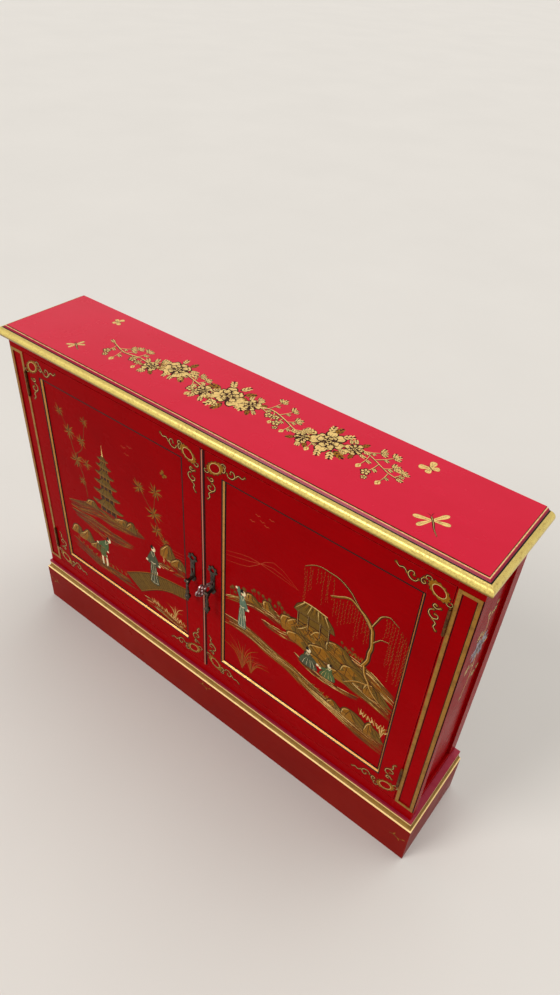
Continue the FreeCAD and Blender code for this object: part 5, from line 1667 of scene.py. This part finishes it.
class SetStudio(bpy.types.Operator):
    """Set the floor, the light and the camera"""

    bl_idname = "cabinet.set_studio"
    bl_label = "Set Studio"

    def execute(self, context):
        scene, studio = context.scene, context.scene.cabinet_studio
        scene.view_settings.view_transform = "Standard"
        self.floor(scene, studio)
        self.sky(scene, studio)
        self.lamp(scene, "Key", studio.key, slope=18, bearing=20, softness=40)
        self.lamp(scene, "Fill", studio.fill, slope=50, bearing=210, softness=24)
        self.camera(scene, studio)
        return {"FINISHED"}

    def floor(self, scene, studio):
        """A plain pale floor with the faintest clouds in it."""
        reach = studio.floor_reach
        mesh = bpy.data.meshes.new("floor")
        corners = [(u * reach, v * reach, 0) for u, v in ((-1, -1), (1, -1), (1, 1), (-1, 1))]
        mesh.from_pydata(corners, [], [range(4)])
        material, tree, shader = new_material("floor")
        tone = linear(studio.floor)
        paler = [min(1.0, c * 1.03) for c in tone]
        clouds = tree.spread(tree.noise(tree.place(), scale=1.5), 0.3, 0.7)
        tree.put(shader["Base Color"], tree.mix(clouds, tone, paler))
        shader["Roughness"].default_value = 0.7
        shader["Specular IOR Level"].default_value = 0.2
        mesh.materials.append(material)
        floor = bpy.data.objects.new("floor", mesh)
        scene.collection.objects.link(floor)

    def sky(self, scene, studio):
        """An even sky; what the camera and the gloss see of it is brighter than the light it gives."""
        scene.world = bpy.data.worlds.new("studio")
        scene.world.use_nodes = True
        tree = Tree(scene.world.node_tree)
        light = scene.world.node_tree.nodes["Background"]
        light.inputs["Color"].default_value = WHITE
        light.inputs["Strength"].default_value = studio.sky
        seen = tree.add("Background", {"Color": WHITE, "Strength": studio.backdrop})
        rays = tree.add("LightPath").outputs
        direct = tree.math("MAXIMUM", rays["Is Camera Ray"], rays["Is Glossy Ray"])
        either = tree.math("MAXIMUM", direct, rays["Is Transmission Ray"])
        mixed = tree.add("MixShader", {0: either, 1: light.outputs[0], 2: seen.outputs[0]})
        tree.put(scene.world.node_tree.nodes["World Output"].inputs["Surface"], mixed.outputs[0])

    def lamp(self, scene, name, strength, slope, bearing, softness):
        """A soft sun, its angles in degrees: its tilt from the upright, and the side it comes from.

        The side is counted clockwise from behind the cabinet.
        """
        slope, bearing = math.radians(slope), math.radians(bearing)
        data = bpy.data.lights.new(name, "SUN")
        data.energy = strength
        data.angle = math.radians(softness)
        lamp = bpy.data.objects.new(name, data)
        away = Vector((
            math.sin(slope) * math.sin(bearing), math.sin(slope) * math.cos(bearing), math.cos(slope)
        ))
        lamp.rotation_euler = away.to_track_quat("Z", "Y").to_euler()
        lamp.location = away * LAMP_DISTANCE
        scene.collection.objects.link(lamp)

    def camera(self, scene, studio):
        """The camera where the photograph was taken from."""
        turn, dip, roll = studio.azimuth, studio.dip, studio.roll
        forward = Vector((-math.sin(turn) * math.cos(dip), math.cos(turn) * math.cos(dip), -math.sin(dip)))
        level = Vector((math.cos(turn), math.sin(turn), 0.0))
        down = forward.cross(level)
        right = level * math.cos(roll) + down * math.sin(roll)
        up = level * math.sin(roll) - down * math.cos(roll)
        data = bpy.data.cameras.new("camera")
        data.lens = studio.lens
        data.sensor_width = FILM_WIDTH
        data.shift_x, data.shift_y = studio.shift
        camera = bpy.data.objects.new("camera", data)
        axes = Matrix((right, up, -forward)).transposed().to_4x4()
        camera.matrix_world = Matrix.Translation(studio.eye) @ axes
        scene.collection.objects.link(camera)
        scene.camera = camera


STEPS = (
    LacquerWoodwork, LacquerTop, GildMouldings, StainWood, FinishMetalwork, FitScrews,
    PaintTop, PaintLeftDoor, PaintRightDoor, PaintFrames, PaintEnds, SetStudio,
)
SETTINGS = {
    "cabinet_finishes": CabinetFinishes, "cabinet_inks": CabinetInks, "cabinet_studio": CabinetStudio
}


class CabinetPanel(bpy.types.Panel):
    """The steps and settings of the cabinet, in the sidebar"""

    bl_idname = "VIEW3D_PT_cabinet"
    bl_label = "Console Cabinet"
    bl_space_type = "VIEW_3D"
    bl_region_type = "UI"
    bl_category = "Cabinet"

    def draw(self, context):
        for step in STEPS:
            self.layout.operator(step.bl_idname)
        for name, settings in SETTINGS.items():
            box = self.layout.box()
            for key in settings.__annotations__:
                box.prop(getattr(context.scene, name), key)


CLASSES = (*SETTINGS.values(), *STEPS, CabinetPanel)


def register():
    for item in CLASSES:
        bpy.utils.register_class(item)
    for name, settings in SETTINGS.items():
        setattr(bpy.types.Scene, name, PointerProperty(type=settings))


def unregister():
    for name in SETTINGS:
        delattr(bpy.types.Scene, name)
    for item in reversed(CLASSES):
        bpy.utils.unregister_class(item)


def main():
    register()
    for make in GROUPS:
        make()
    for step in STEPS:
        getattr(bpy.ops.cabinet, step.bl_idname.split(".")[1])()


if __name__ == "__main__":
    main()
